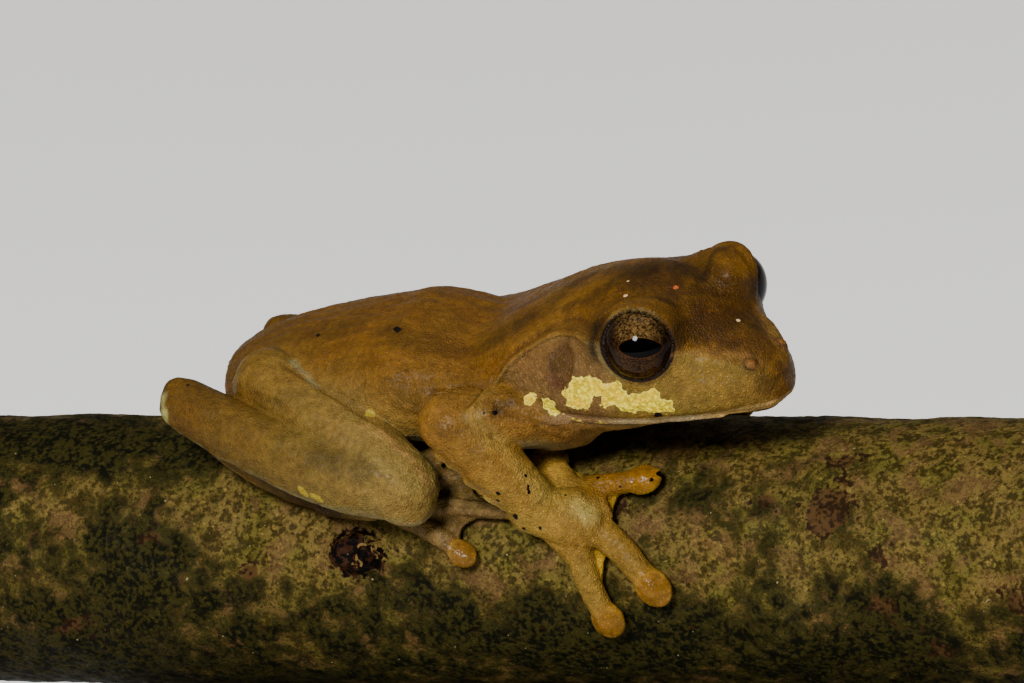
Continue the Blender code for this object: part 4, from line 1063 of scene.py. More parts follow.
# Yellow patches under the eye, as outlines in the head's own coordinates (toward the snout, up)
GOLD = [
    [(-15.2, -1.2), (-14.9, -0.9), (-13.7, -0.7), (-13.1, -0.6), (-12.5, -0.8), (-12.3, -1.1), (-11.9, -0.8),
     (-11.2, -0.6), (-10.9, -1.1), (-10.4, -1.5), (-9.7, -1.4), (-9.4, -1.1), (-8.8, -0.7), (-8.3, -1.0),
     (-8.1, -1.6), (-7.3, -1.7), (-7.1, -2.0), (-7.2, -2.8), (-8.0, -3.0), (-8.8, -3.0), (-9.4, -2.9),
     (-10.2, -3.2), (-11.1, -3.0), (-11.4, -2.6), (-12.2, -2.9), (-12.6, -2.7), (-12.5, -2.1), (-13.1, -2.1),
     (-13.2, -2.7), (-13.6, -3.3), (-14.3, -3.5), (-15.8, -3.6), (-15.9, -3.3), (-15.3, -2.9), (-16.0, -2.6),
     (-15.9, -2.1), (-15.3, -1.7)],
    [(-18.8, -2.9), (-18.4, -3.0), (-18.3, -3.6), (-18.4, -4.0), (-18.6, -4.0), (-19.0, -3.7),
     (-19.3, -3.5)],
    [(-17.8, -3.5), (-17.1, -3.1), (-16.6, -3.3), (-16.5, -3.9), (-16.3, -4.6), (-16.6, -4.8), (-17.0, -4.7),
     (-17.3, -4.4), (-17.7, -4.1)],
    [(-15.7, -5.05), (-15.2, -4.8), (-14.8, -5.05), (-15.2, -5.35)],
    [(-14.1, -5.05), (-13.4, -4.85), (-13.0, -5.05), (-13.6, -5.25)],
]


def blend(colour, layer, weight):
    """Lays a colour over others by weight."""
    return colour + (layer - colour) * np.clip(weight, 0.0, 1.0)[:, None]


def bones():
    """Middle lines of trunk and limbs, each with a radius and the skin's colour at both ends."""
    lines = [
        (Vector((-21.5, 0.5, 4.0)), Vector((-12.0, 0.3, 4.5)), 5.2, BACK_REAR, BACK_BROWN),
        (Vector((-12.0, 0.3, 4.5)), Vector((8.0, -0.8, 5.5)), 6.2, BACK_BROWN, BACK_BROWN),
        (Vector((8.0, -0.8, 5.5)), Vector((16.0, -3.0, 7.5)), 6.5, BACK_BROWN, BACK_BROWN),
    ]
    for pose in (RIGHT, LEFT):
        shoulder, elbow, wrist, palm = joints(pose, "shoulder elbow wrist palm")
        hip, knee, heel, ankle, sole = joints(pose, "hip knee heel ankle sole")
        lines += [
            (shoulder, elbow, 2.7, BACK_BROWN * 0.5 + ARM * 0.5, ARM),
            (elbow, wrist, 2.2, ARM, FOREARM),
            (wrist, palm, 1.8, FOREARM, HAND),
            (hip, knee, 3.4, THIGH, KNEE),
            (knee, heel, 2.8, SHANK_KNEE, SHANK),
            # The tarsus in painted shade under the shank.
            (heel, ankle, 1.7, TARSUS_IN_SHADE, TARSUS_IN_SHADE),
            (ankle, sole, 1.5, TARSUS_IN_SHADE, TOE),
        ]
        for digits, root, tip, radius in (("fingers", HAND, FINGER, 1.1), ("toes", TOE, TOE, 0.95)):
            for row in pose[digits]:
                ends = digit_path(row, pose["sign"])
                lines.append((ends[0], ends[1], radius, root, root * 0.5 + tip * 0.5))
                lines.append((ends[1], ends[2], radius, root * 0.5 + tip * 0.5, tip))
    return lines


def body_colour(skin):
    """Skin colour from the nearest bones, a little sharper than evenly blended."""
    total = np.zeros((len(skin.points), 3))
    weights = np.zeros(len(skin.points))
    for start, end, radius, first, last in bones():
        gap, along = near_path(skin.points, [start, end])
        weight = (np.maximum(gap, 0.3 * radius) / radius) ** -7.0
        total += weight[:, None] * (first + (last - first) * along[:, None])
        weights += weight
    return total / weights[:, None]


def head_colour(skin, colour, share):
    """Colours of the head over those of the body, with painted shade and painted highlights round the eyes,
    ear folds, mouth, nostrils and the ridges from eye to snout.
    """
    x, y, z = skin.head.T
    out = np.abs(y)
    level = z - mouth_height(x)
    sides = np.interp(x, [-22.5, -21.8, -20.5, -18.0, -15.5, -13.4, -8.0, -6.8, -3.5, -2.0, -1.3, 2.0],
                      [-3.6, -2.6, -0.7, 1.25, 2.1, 2.2, 2.0, 1.9, 1.1, 0.5, -0.5, -1.2])
    above = z - sides
    uneven = noise_at(skin.points, 0.45, 11.0)
    fine = noise_at(skin.points, 1.3, 12.0)
    crown = rising(above + 0.25 * fine, -0.15, 0.4) * rising(x, -17.5, -12.5)
    dark = 0.55 + 0.45 * rising(uneven + 0.5 * fine, -0.5, 0.35)
    brows = rising(z, 3.2, 4.6) * rising(out, 2.2, 3.8)
    colour = blend(colour, DEEP_BROWN, crown * dark * (0.8 - 0.5 * brows))
    paler = crown * rising(x, -7.0, -3.0)
    colour = blend(colour, paint(92, 60, 26), paler * (0.6 + 0.3 * uneven))
    side_face = rising(-above - 0.1 * fine, -0.1, 0.35) * rising(x, -23.0, -21.0) * rising(out, 0.3, 1.5)
    side_face *= rising(share, 0.2, 0.5)
    lore = rising(x, -13.0, -10.5)
    face = CHEEK[None, :] + (LORE - CHEEK)[None, :] * lore[:, None]
    face = face + (SNOUT_SIDE - face) * rising(x, -3.4, -1.2)[:, None]
    colour = np.where(side_face[:, None] > 0, colour + (face - colour) * side_face[:, None], colour)
    drum = ear_place(x, z)
    ear = rising(1.22 - drum + 0.12 * fine, 0.0, 0.5) * side_face * (0.85 + 0.3 * uneven)
    low = rising(-z, 0.6, 1.9)
    colour = blend(colour, EAR, ear * (1 - low))
    colour = blend(colour, EAR_LOW, ear * low)
    mouth = rising(x, -18.0, -15.0)
    band = rising(level + 0.1 * fine, -0.12, 0.02) * (1.0 - rising(level, 0.7, 1.05)) * mouth
    colour = blend(colour, LIP, band * 0.9)
    colour = blend(colour, LIP_FRONT, band * rising(x, -7.0, -4.0) * 0.8)
    colour = blend(colour, LIP_REAR, band * rising(-x, 11.0, 14.5) * 0.85)
    below = rising(-level, 0.0, 0.5) * rising(x, -24.0, -19.0) * rising(share, 0.25, 0.5)
    colour = blend(colour, THROAT, below)
    colour = blend(colour, BELLY, below * rising(-level, 3.5, 6.5) * 0.8)
    # Painted shade in the mouth's groove, fading out towards the corner of the mouth.
    slit_shade = bell(level + 0.12, 0.11) * mouth * rising(x, -16.0, -11.0)
    colour = blend(colour, paint(40, 20, 10), slit_shade * 0.6)
    for side in (-1.0, 1.0):
        ahead, rise, _, _ = eye_coordinates(skin, side)
        lid = lid_place(skin, side)
        close = np.where(lid < FAR_AWAY, 1.0, 0.0)
        rear = rising(-ahead, 0.0, 2.2)
        middle = within(rise, -2.6, -1.4, 0.4, 1.6)
        # Painted shade in the hollow behind each eye: a dark crescent at the rear of the opening.
        colour = blend(colour, paint(34, 27, 12), close * bell(lid - 0.7, 0.5) * rear * middle * 0.85)
        # Painted shade along the front edge of the eye's opening.
        colour = blend(colour, paint(58, 36, 16), close * bell(lid - 0.15, 0.15) * (1.0 - rear) * 0.5)
        # A painted highlight along the upper lid's rim, and the pale lower lid at the rear.
        pale = bell(lid - 0.12, 0.1) * 0.4 * rising(rise, 0.6, 2.0) * rising(-ahead, -2.0, -0.6)
        pale += bell(lid - 0.25, 0.2) * 0.5 * rear * rising(-rise, 0.2, 1.2)
        colour = blend(colour, LID_EDGE_AND_HIGHLIGHT, close * pale)
        # Painted shade on the lid's inner wall, in the gap round the eyeball.
        colour = blend(colour, paint(34, 20, 10), close * rising(0.04 - lid, 0.0, 0.08))
        off = away_from(skin.points, head_place(NOSTRIL_PLACE, side))
        colour = blend(colour, paint(62, 38, 16), bell(off - 0.6, 0.14) * 0.75)
        colour = blend(colour, paint(136, 84, 30), rising(0.52 - off, 0.0, 0.15) * 0.85)
        # Painted shade in the nostril's opening: a dark crescent at its front.
        hole = away_from(skin.points, head_point(-2.05, side * 1.93, 1.2))
        colour = blend(colour, paint(14, 8, 4), bell(hole, 0.34) * rising(off, 0.46, 0.62))
    smudge = bell(np.hypot((x + 1.25) / 0.55, (z + 0.5) / 0.28), 1.0)
    colour = blend(colour, DEEP_BROWN, smudge * 0.45)
    over, along = beside(FOLD, x, z)
    ends = within(along, 0.0, 0.1, 0.9, 1.0) * rising(out, 2.0, 4.0)
    # Painted highlight along the top of the ear fold, and painted shade just under it.
    colour = blend(colour, paint(150, 112, 50), ends * bell(over - 0.1, 0.25) * 0.35)
    colour = blend(colour, paint(70, 46, 26), ends * bell(over + 0.35, 0.22) * 0.45)
    # Painted highlight along the ridge from the eye to the snout.
    canthus, _ = beside([(row[0], row[2] + 0.6) for row in CANTHUS], x, z)
    edge = bell(canthus, 0.16) * rising(out, 0.8, 1.6) * within(x, -8.5, -7.5, -2.0, -1.2)
    return blend(colour, paint(150, 104, 60), edge * 0.35)


def gold_distance(skin):
    """Distance outside the yellow patches, negative within them."""
    x, _, z = skin.head.T
    distance = np.full(len(x), 3.0)
    near = (np.abs(skin.head[:, 1]) > 3.5) & (x > -21.0) & (x < -5.0) & (z < 1.5) & (z > -7.5)
    x, z = x[near], z[near]
    best = np.full(len(x), 3.0)
    for outline in GOLD:
        away = np.full(len(x), 9.0)
        inside = np.zeros(len(x), dtype=bool)
        for (ax, az), (bx, bz) in zip(outline, outline[1:] + outline[:1]):
            along = ((x - ax) * (bx - ax) + (z - az) * (bz - az)) / ((bx - ax) ** 2 + (bz - az) ** 2)
            along = np.clip(along, 0.0, 1.0)
            away = np.minimum(away, np.hypot(x - ax - along * (bx - ax), z - az - along * (bz - az)))
            crosses = (az > z) != (bz > z)
            inside ^= crosses & (x < ax + (z - az) * (bx - ax) / (bz - az + 1e-12))
        best = np.minimum(best, np.where(inside, -away, away))
    distance[near] = best
    return distance


# Small marks by colour: place in millimetres, and radius
SPECKS = {
    "dark": [
        ((-6.5, -3.4, 9.9), 0.34), ((-13.8, -2.3, 9.05), 0.2), ((16.68, -10.45, 5.68), 0.3),
        ((3.7, -10.9, 6.4), 0.2), ((2.9, -11.2, 6.5), 0.12), ((-23.0, -7.3, 7.0), 0.14),
        ((3.6, -12.5, 0.5), 0.17), ((3.2, -12.1, -0.3), 0.17), ((4.4, -11.7, -1.7), 0.26),
        ((4.9, -11.5, -2.6), 0.16), ((6.2, -11.7, -2.7), 0.16), ((5.7, -11.5, 1.5), 0.13),
        ((5.9, -12.0, 0.2), 0.15), ((5.8, -11.9, 0.5), 0.12), ((6.0, -11.9, 0.7), 0.11),
        ((8.0, -10.1, -0.7), 0.12), ((9.6, -7.3, -0.9), 0.15), ((9.2, -7.0, -0.9), 0.12),
        ((11.4, -7.7, -1.3), 0.12), ((13.8, -7.1, -1.0), 0.14), ((14.4, -6.4, -0.8), 0.3),
        ((10.9, -6.6, -0.7), 0.13),
    ],
    "orange": [
        ((17.35, -4.39, 13.84), 0.21),
    ],
    "pale": [
        ((13.9, -6.05, 13.95), 0.17), ((22.05, -4.6, 11.14), 0.16), ((13.6, -4.5, 14.5), 0.09),
    ],
    "gold": [
        ((-12.5, -12.7, 0.75), 0.4), ((-12.35, -12.8, 0.35), 0.36), ((-11.55, -12.9, 0.35), 0.34),
        ((-11.2, -12.9, 0.05), 0.38), ((-7.7, -8.4, 5.1), 0.42),
    ],
}


def speck_distance(skin, kind):
    """Distance from the nearest small mark of a kind, in its radii."""
    distance = np.full(len(skin.points), FAR_AWAY)
    for place, radius in SPECKS[kind]:
        nearest = skin.points[np.argmin(away_from(skin.points, place))]
        distance = np.minimum(distance, away_from(skin.points, nearest) / radius)
    return distance


def limb_colour(skin, colour):
    """Discs with a painted highlight round their rims, webs, the pale fringe of the forearms, and paler
    undersides.
    """
    gloss = np.zeros(len(skin.points))
    veil = np.zeros(len(skin.points))
    under = rising(-skin.normals[:, 2], 0.35, 0.85) * rising(skin.bark[:, 2], 2.0, 3.5)
    colour = blend(colour, BELLY, under * 0.6 * rising(-skin.head[:, 0], 16.0, 20.0))
    low = skin.bark[:, 2] < DIGIT_HEIGHT
    for pose in (RIGHT, LEFT):
        side = pose["sign"]
        elbow, wrist = joints(pose, "elbow wrist")
        _, edge, lobes = fringe(pose)
        for share, width, pale in lobes:
            lobe = [elbow.lerp(wrist, share + shift) + edge * (0.38 + width) for shift in (-0.02, 0.02)]
            colour = blend(colour, FRINGE_TIP, bell(near_path(skin.points, lobe)[0], 0.2) * pale)
        for digits in ("fingers", "toes"):
            for number, row in enumerate(pose[digits]):
                off = away_from(skin.points, disc_place(row, side)) / row[3]
                disc = rising(1.45 - off, 0.0, 0.4)
                colour = blend(colour, DISC, disc * 0.85)
                # Painted highlight round each disc's rim.
                colour = blend(colour, paint(196, 146, 62), bell(off - 1.08, 0.12) * 0.35)
                gloss = np.maximum(gloss, disc)
                if digits == "fingers" and number == 1:
                    gap, reach = near_path(skin.points, digit_path(row, side))
                    near = rising(1.9 - gap, 0.0, 0.6) * rising(reach, 0.1, 0.35)
                    colour = blend(colour, FINGER_TWO, near * 0.8)
            web_colour, share = (WEB, 0.9) if digits == "fingers" else (TOE_WEB, 0.6)
            for first, second in zip(pose[digits], pose[digits][1:]):
                weight = np.where(low, web_place(skin, side, first, second), 0.0)
                colour = blend(colour, web_colour, weight * share)
                veil = np.maximum(veil, weight)
    return colour, gloss, veil


def web_place(skin, side, first, second):
    """1 in the middle of a web between two digits, 0 at them and outside."""
    paths = []
    for row in (first, second):
        paths.append([bark_point(x, side * angle, WEB_HEIGHT) for x, angle, *_ in smooth_rows(row[:3], 4)])
    one, along_one = near_path(skin.points, paths[0])
    two = near_path(skin.points, paths[1])[0]
    span = max((a - b).length for a, b in zip(*paths))
    inside = rising(one, 0.7, 1.1) * rising(two, 0.7, 1.1) * rising(span + 0.6 - one - two, 0.0, 0.8)
    return inside * rising(along_one, 0.0, 0.1)


def dress_skin(skin):
    """Stores the skin's colour and masks on its points."""
    colour = head_colour(skin, body_colour(skin), head_share(skin))
    colour, gloss, veil = limb_colour(skin, colour)
    # Painted shade along the creases.
    for course, _, width, share in CREASES:
        colour = blend(colour, paint(70, 38, 16), crease_share(skin, course, 1.2 * width) * share)
    ragged = np.stack([noise_at(skin.points, 0.9, seed) for seed in (51.0, 52.0, 53.0)], axis=1)
    smear = skin.points + 0.5 * ragged
    # Markings, and at a few places painted shade and painted light.
    for course, reach, kept in TONES_AND_PAINTED_LIGHT:
        gap = near_path(smear, course)[0]
        colour = colour * (1.0 - (1.0 - kept) * rising(1.5 * reach - gap, 0.0, 1.1 * reach))[:, None]
    for course, reach, layer, share in EDGES:
        gap = near_path(smear, course)[0]
        colour = blend(colour, layer, rising(reach - gap, 0.0, reach) * share)
    broad = noise_at(skin.points, 0.22, 21.0)
    middle = noise_at(skin.points, 0.8, 22.0)
    colour = colour * (1.0 + 0.13 * broad + 0.08 * middle)[:, None]
    head = rising(skin.head[:, 0], -22.0, -17.0)
    top = rising(skin.head[:, 2], 1.8, 3.2) * head
    # Painted sheen: a faint bluish lift of the skin's colour, weaker on the head's top.
    painted_sheen = 0.0018 * rising(colour[:, 1], 0.012, 0.05) * (1.0 - 0.6 * top)
    colour = colour * np.array((1.03, 1.13, 1.0))
    colour[:, 2] = colour[:, 2] * (1.0 - 0.12 * top) + painted_sheen
    hue = 0.07 * noise_at(skin.points, 0.35, 23.0)
    colour = colour * np.stack([1.0 - 0.4 * hue, 1.0 + hue, 1.0 + 2.0 * hue], axis=1)
    put_colour(skin.mesh, "tint", colour)
    put_value(skin.mesh, "gloss", gloss)
    put_value(skin.mesh, "veil", veil)
    put_value(skin.mesh, "gold", gold_distance(skin))
    for kind in SPECKS:
        put_value(skin.mesh, "speck_" + kind, speck_distance(skin, kind))
    # Amount of painted sparkle: most on the head's sides and at the frog's right front.
    side_face = rising(-skin.head[:, 2], -3.0, 0.0) * head
    front = rising(skin.points[:, 0], -11.0, -3.0) * rising(-skin.points[:, 1], 5.0, 7.0)
    put_value(skin.mesh, "grain", 0.35 + 0.65 * np.maximum(np.maximum(side_face, 0.5 * head), 0.8 * front))


def put_colour(mesh, name, colour):
    data = np.ones((len(mesh.vertices), 4), dtype=np.float32)
    data[:, :3] = np.clip(colour, 0.0, 1.0)
    attribute = mesh.attributes.new(name, "FLOAT_COLOR", "POINT")
    attribute.data.foreach_set("color", data.ravel())


def put_value(mesh, name, values):
    attribute = mesh.attributes.new(name, "FLOAT", "POINT")
    attribute.data.foreach_set("value", np.asarray(values, dtype=np.float32))


class Finish:
    """A procedural material, built from node to node."""

    def __init__(self, name):
        self.material = bpy.data.materials.new(name)
        self.material.use_nodes = True
        self.tree = self.material.node_tree
        self.shader = self.tree.nodes["Principled BSDF"]
        self.place = self.node("ShaderNodeTexCoord").outputs["Object"]

    def node(self, kind, inputs=None, **settings):
        made = self.tree.nodes.new(kind)
        for key, value in settings.items():
            setattr(made, key, value)
        for socket, value in (inputs or {}).items():
            self.join(value, made.inputs[socket])
        return made

    def join(self, value, socket):
        if isinstance(value, bpy.types.NodeSocket):
            self.tree.links.new(value, socket)
        elif socket.type == "RGBA":
            socket.default_value = (*[float(v) for v in value], 1.0)
        else:
            socket.default_value = value

    def noise(self, scale, detail=2.0, stretch=(1.0, 1.0, 1.0), twist=0.0):
        place = self.node("ShaderNodeMapping", {"Vector": self.place, "Scale": stretch}).outputs[0]
        settings = {"Vector": place, "Scale": scale, "Detail": detail, "Distortion": twist}
        return self.node("ShaderNodeTexNoise", settings).outputs["Fac"]

    def patches(self, low, high, scale, detail=2.0, twist=0.0, most=1.0):
        """0 where the noise is up to low, the most from high on."""
        return self.span(self.noise(scale, detail, twist=twist), low, high, 0.0, most)

    def cells(self, scale):
        return self.node("ShaderNodeTexVoronoi", {"Vector": self.place, "Scale": scale}).outputs["Distance"]

    def math(self, operation, a, b=0.0):
        return self.node("ShaderNodeMath", {0: a, 1: b}, operation=operation).outputs[0]

    def plus(self, a, b):
        return self.math("ADD", a, b)

    def minus(self, a, b):
        return self.math("SUBTRACT", a, b)

    def times(self, a, b):
        return self.math("MULTIPLY", a, b)

    def size(self, a):
        return self.math("ABSOLUTE", a)

    def radius(self, a, b):
        return self.math("SQRT", self.plus(self.times(a, a), self.times(b, b)))

    def span(self, value, low, high, start=0.0, end=1.0):
        settings = {"Value": value, "From Min": low, "From Max": high, "To Min": start, "To Max": end}
        return self.node("ShaderNodeMapRange", settings, interpolation_type="SMOOTHSTEP").outputs["Result"]

    def mix(self, factor, a, b, kind="MIX"):
        made = self.node("ShaderNodeMix", {0: factor}, data_type="RGBA", blend_type=kind)
        self.join(a, made.inputs[6])
        self.join(b, made.inputs[7])
        return made.outputs[2]

    def tinted(self, a, b):
        return self.mix(1.0, a, b, "MULTIPLY")

    def stored(self, name, output="Fac"):
        return self.node("ShaderNodeAttribute", attribute_name=name).outputs[output]

    def bump(self, height, distance, strength=1.0):
        settings = {"Height": height, "Distance": distance, "Strength": strength}
        self.join(self.node("ShaderNodeBump", settings).outputs[0], self.shader.inputs["Normal"])

    def set(self, **values):
        for name, value in values.items():
            self.join(value, self.shader.inputs[name.replace("_", " ")])


def skin_finish():
    """Moist skin: stored colours, mottled and granular, with painted light and shade on the granules,
    painted sparkle highlights, the yellow patches with painted shade between their lumps, and small marks.
    """
    f = Finish("frog_skin")
    fine = f.noise(2400.0, 3.0)
    tiny = f.noise(6500.0, 2.0)
    blotch = f.noise(900.0, 4.0)
    granule = f.cells(5000.0)
    sparkle_cells = f.cells(3500.0)
    grain = f.stored("grain")
    tone = f.times(f.span(fine, 0.25, 0.75, 0.80, 1.20), f.span(blotch, 0.3, 0.7, 0.86, 1.14))
    # Painted light and shade on the granules: lighter on their tops, darker between them.
    tone = f.times(tone, f.span(granule, 0.0, 0.6, 1.12, 0.86))
    colour = f.tinted(f.stored("tint", "Color"), tone)
    # Painted highlights: small bright dots for glints on the wet granules.
    painted_sparkle = f.times(f.span(sparkle_cells, 0.06, 0.30, 1.0, 0.0), f.times(grain, 0.8))
    colour = f.mix(painted_sparkle, colour, f.tinted(colour, (2.3, 2.25, 2.4)))
    freckle = f.times(f.patches(0.64, 0.72, 1500.0, twist=0.6), 0.35)
    colour = f.mix(freckle, colour, f.tinted(colour, (0.45, 0.4, 0.4)))
    lump = f.cells(2000.0)
    edge = f.plus(f.stored("gold"), f.span(lump, 0.0, 0.8, -0.12, 0.16))
    edge = f.plus(edge, f.span(fine, 0.2, 0.8, 0.09, -0.09))
    gold = f.span(edge, -0.03, 0.05, 1.0, 0.0)
    yellow = f.mix(f.patches(0.4, 0.62, 900.0), (0.54, 0.43, 0.02), (0.56, 0.34, 0.006))
    # Painted shade in the crevices between the yellow lumps.
    yellow = f.mix(f.span(f.cells(3400.0), 0.3, 0.7), yellow, (0.34, 0.24, 0.004))
    yellow = f.mix(f.span(edge, -0.18, -0.04, 0.0, 0.45), yellow, (0.56, 0.49, 0.09))
    colour = f.mix(gold, colour, yellow)
    marks = {"dark": paint(20, 12, 8), "pale": paint(196, 170, 120, 0.9), "orange": paint(196, 92, 44, 0.6),
             "gold": paint(160, 136, 44, 0.6)}
    for kind, mark in marks.items():
        place = f.plus(f.stored("speck_" + kind), f.span(fine, 0.2, 0.8, -0.35, 0.35))
        colour = f.mix(f.span(place, 0.85, 1.1, 1.0, 0.0), colour, mark)
    rough = f.minus(f.span(tiny, 0.3, 0.7, 0.34, 0.54), f.times(f.stored("gloss"), 0.2))
    f.set(Base_Color=colour, Roughness=rough, IOR=1.38, Specular_IOR_Level=0.13, Subsurface_Weight=0.1,
          Subsurface_Scale=0.001)
    f.shader.inputs["Subsurface Radius"].default_value = (0.9, 0.45, 0.2)
    matte = f.minus(1.0, f.times(f.stored("gloss"), 0.8))
    height = f.times(f.span(granule, 0.0, 0.6, 1.0, 0.0), f.times(matte, 1.1))
    height = f.plus(height, f.times(fine, 0.35))
    height = f.plus(height, f.times(f.times(tiny, matte), 0.5))
    height = f.plus(height, f.times(gold, f.span(lump, 0.0, 0.6, 1.6, 0.2)))
    f.bump(height, 0.00006)
    return f.material


def eye_finish():
    """Dark iris, bronze and finely marbled above, round a flat black pupil, under a wet surface."""
    f = Finish("frog_eye")
    parts = f.node("ShaderNodeSeparateXYZ", {0: f.place}).outputs
    across = f.times(parts[0], MM)
    rise = f.times(parts[1], MM)
    reach = f.radius(across, rise)
    marble = f.noise(2100.0, 2.0, twist=1.6)
    vein = f.span(f.size(f.minus(marble, 0.5)), 0.0, 0.10)
    bronze = f.mix(vein, paint(28, 19, 10, IRIS_GAIN), paint(108, 82, 46, IRIS_GAIN))
    bronze = f.mix(f.patches(0.4, 0.65, 6000.0), bronze, f.tinted(bronze, (0.6, 0.58, 0.55)))
    dusk = f.mix(vein, paint(22, 13, 7, IRIS_GAIN), paint(62, 42, 22, IRIS_GAIN))
    upper = f.span(f.plus(rise, f.span(marble, 0.3, 0.7, -0.3, 0.3)), -0.1, 0.9)
    iris = f.mix(upper, dusk, bronze)
    sides = f.span(f.size(across), 1.0, 2.1)
    iris = f.mix(f.times(sides, 0.85), iris, paint(24, 13, 6))
    rim = f.span(reach, 2.72, 2.86)
    iris = f.mix(rim, iris, paint(10, 7, 5))
    for place, share in ((2.36, 0.85), (2.08, 0.6)):
        line = f.plus(f.minus(reach, place), f.span(marble, 0.3, 0.7, -0.08, 0.08))
        ring = f.span(f.size(line), 0.0, 0.06, 1.0, 0.0)
        ring = f.times(ring, f.span(rise, 0.0, 1.2, 0.3, 1.0))
        iris = f.mix(f.times(ring, share), iris, paint(14, 9, 5))
    wide, high = ((f.minus(across, PUPIL_SHIFT), PUPIL_HALF_WIDTH), (rise, PUPIL_HALF_HEIGHT))
    pupil = f.plus(*(f.math("POWER", f.math("DIVIDE", f.size(place), half), PUPIL_POWER)
                     for place, half in (wide, high)))
    margin = f.span(f.size(f.minus(pupil, 1.1)), 0.0, 0.16, 1.0, 0.0)
    below = f.span(rise, -0.5, 0.1, 0.22, 0.1)
    iris = f.mix(f.times(margin, below), iris, paint(128, 62, 26))
    colour = f.mix(f.span(pupil, 0.96, 1.06, 1.0, 0.0), iris, paint(3, 3, 3))
    f.set(Base_Color=colour, Roughness=0.06, IOR=1.33, Specular_IOR_Level=0.12)
    return f.material


def bark_finish():
    """Thin bark mottled with green algae, tan lichen and brown patches; greener and darker towards the
    underside, partly as painted shade.
    """
    f = Finish("bark")

    def ink(*colour):
        return paint(*colour, gain=BARK_GAIN)

    spot = f.noise(620.0, 4.0, twist=0.3)
    fleck = f.plus(f.times(f.noise(2700.0, 4.0), 0.55), f.times(f.noise(1050.0, 5.0, twist=0.4), 0.45))
    fleck = f.span(fleck, 0.34, 0.66, 0.25, 0.75)
    grit = f.noise(6200.0, 2.0)
    moss = f.plus(f.stored("moss"), f.span(spot, 0.3, 0.7, -0.34, 0.34))
    moss = f.span(f.plus(moss, f.span(fleck, 0.3, 0.7, -0.22, 0.22)), 0.3, 0.75)
    tan = f.mix(f.span(fleck, 0.33, 0.64), ink(68, 56, 24), ink(124, 103, 52))
    tan = f.mix(f.patches(0.4, 0.62, 300.0, 3.0), tan, f.tinted(tan, (0.82, 0.96, 0.7)))
    tan = f.mix(f.patches(0.5, 0.66, 430.0, 4.0, twist=0.5, most=0.6), tan, ink(118, 88, 54))
    green = f.mix(f.span(fleck, 0.36, 0.64), ink(22, 23, 9), ink(60, 55, 23))
    grain = f.times(f.patches(0.58, 0.7, 3400.0), 0.6)
    colour = f.mix(moss, tan, green)
    colour = f.mix(grain, colour, f.tinted(colour, (2.1, 2.0, 1.9)))
    colour = f.mix(f.times(f.span(grit, 0.54, 0.68), 0.6), colour, ink(18, 15, 6))
    colour = f.mix(f.times(f.patches(0.62, 0.76, 1700.0, 4.0, twist=0.5), 0.35), colour, ink(26, 20, 8))
    colour = f.mix(f.times(f.patches(0.66, 0.74, 820.0, 3.0, twist=0.5), 0.4), colour,
                   ink(74, 46, 20))
    colour = f.mix(f.patches(0.79, 0.81, 2200.0, 1.0), colour, paint(150, 138, 100))
    ragged = f.plus(f.span(spot, 0.2, 0.8, -0.9, 0.9), f.span(fleck, 0.2, 0.8, -0.4, 0.4))
    brown = f.span(f.plus(f.stored("brown"), ragged), -0.05, 0.3, 0.9, 0.0)
    colour = f.mix(brown, colour, f.mix(f.span(fleck, 0.35, 0.6), ink(44, 28, 14), ink(86, 60, 34)))
    ragged = f.plus(f.span(spot, 0.2, 0.8, -0.5, 0.5), f.span(fleck, 0.2, 0.8, -0.3, 0.3))
    knot = f.span(f.plus(f.stored("knot"), ragged), -0.1, 0.12, 1.0, 0.0)
    shard = f.mix(f.patches(0.46, 0.62, 1500.0, 4.0, twist=0.6), ink(14, 9, 5), ink(66, 40, 24))
    shard = f.mix(f.patches(0.62, 0.66, 1250.0, 3.0, twist=0.6), shard, ink(140, 110, 62))
    colour = f.mix(knot, colour, shard)
    f.set(Base_Color=colour, Roughness=f.span(spot, 0.3, 0.7, 0.55, 0.8), IOR=1.4, Specular_IOR_Level=0.06)
    height = f.plus(f.times(spot, 1.2), f.times(fleck, 0.7))
    height = f.plus(height, f.times(grit, 0.3))
    f.bump(height, 0.00016)
    return f.material


def end_grain_finish():
    """Sawn wood: pale rings round the pith, with fine saw marks and a check or two."""
    f = Finish("end_grain")
    parts = f.node("ShaderNodeSeparateXYZ", {0: f.place}).outputs
    y = f.times(parts[1], MM)
    z = f.times(f.minus(parts[2], (CREST_HEIGHT - PERCH_RADIUS) * METRES), MM)
    reach = f.radius(y, z)
    reach = f.plus(reach, f.span(f.noise(160.0, 2.0), 0.2, 0.8, -0.8, 0.8))
    ring = f.math("SINE", f.times(reach, 5.4))
    wood = f.mix(f.span(ring, -0.4, 1.0), paint(176, 142, 92), paint(128, 94, 54))
    wood = f.mix(f.span(reach, 0.3, 1.0, 1.0, 0.0), wood, paint(84, 56, 32))
    wood = f.mix(f.span(f.noise(900.0, 3.0, stretch=(1.0, 0.12, 1.0)), 0.5, 0.72, 0.0, 0.45), wood,
                 paint(110, 84, 50))
    wood = f.mix(f.span(reach, 9.5, 10.1), wood, paint(70, 54, 30))
    f.set(Base_Color=wood, Roughness=0.8)
    f.bump(f.noise(1400.0, 3.0, stretch=(1.0, 0.1, 1.0)), 0.0001, 0.7)
    return f.material


def stand_finish():
    """Satin black paint with a fine orange-peel surface."""
    f = Finish("stand_black")
    peel = f.noise(1200.0, 2.0)
    smear = f.noise(60.0, 4.0)
    colour = f.mix(f.span(smear, 0.3, 0.7), (0.016, 0.016, 0.017), (0.024, 0.024, 0.025))
    f.set(Base_Color=colour, Roughness=f.span(smear, 0.3, 0.7, 0.30, 0.42), Coat_Weight=0.15,
          Coat_Roughness=0.25)
    f.bump(peel, 0.00003, 0.5)
    return f.material


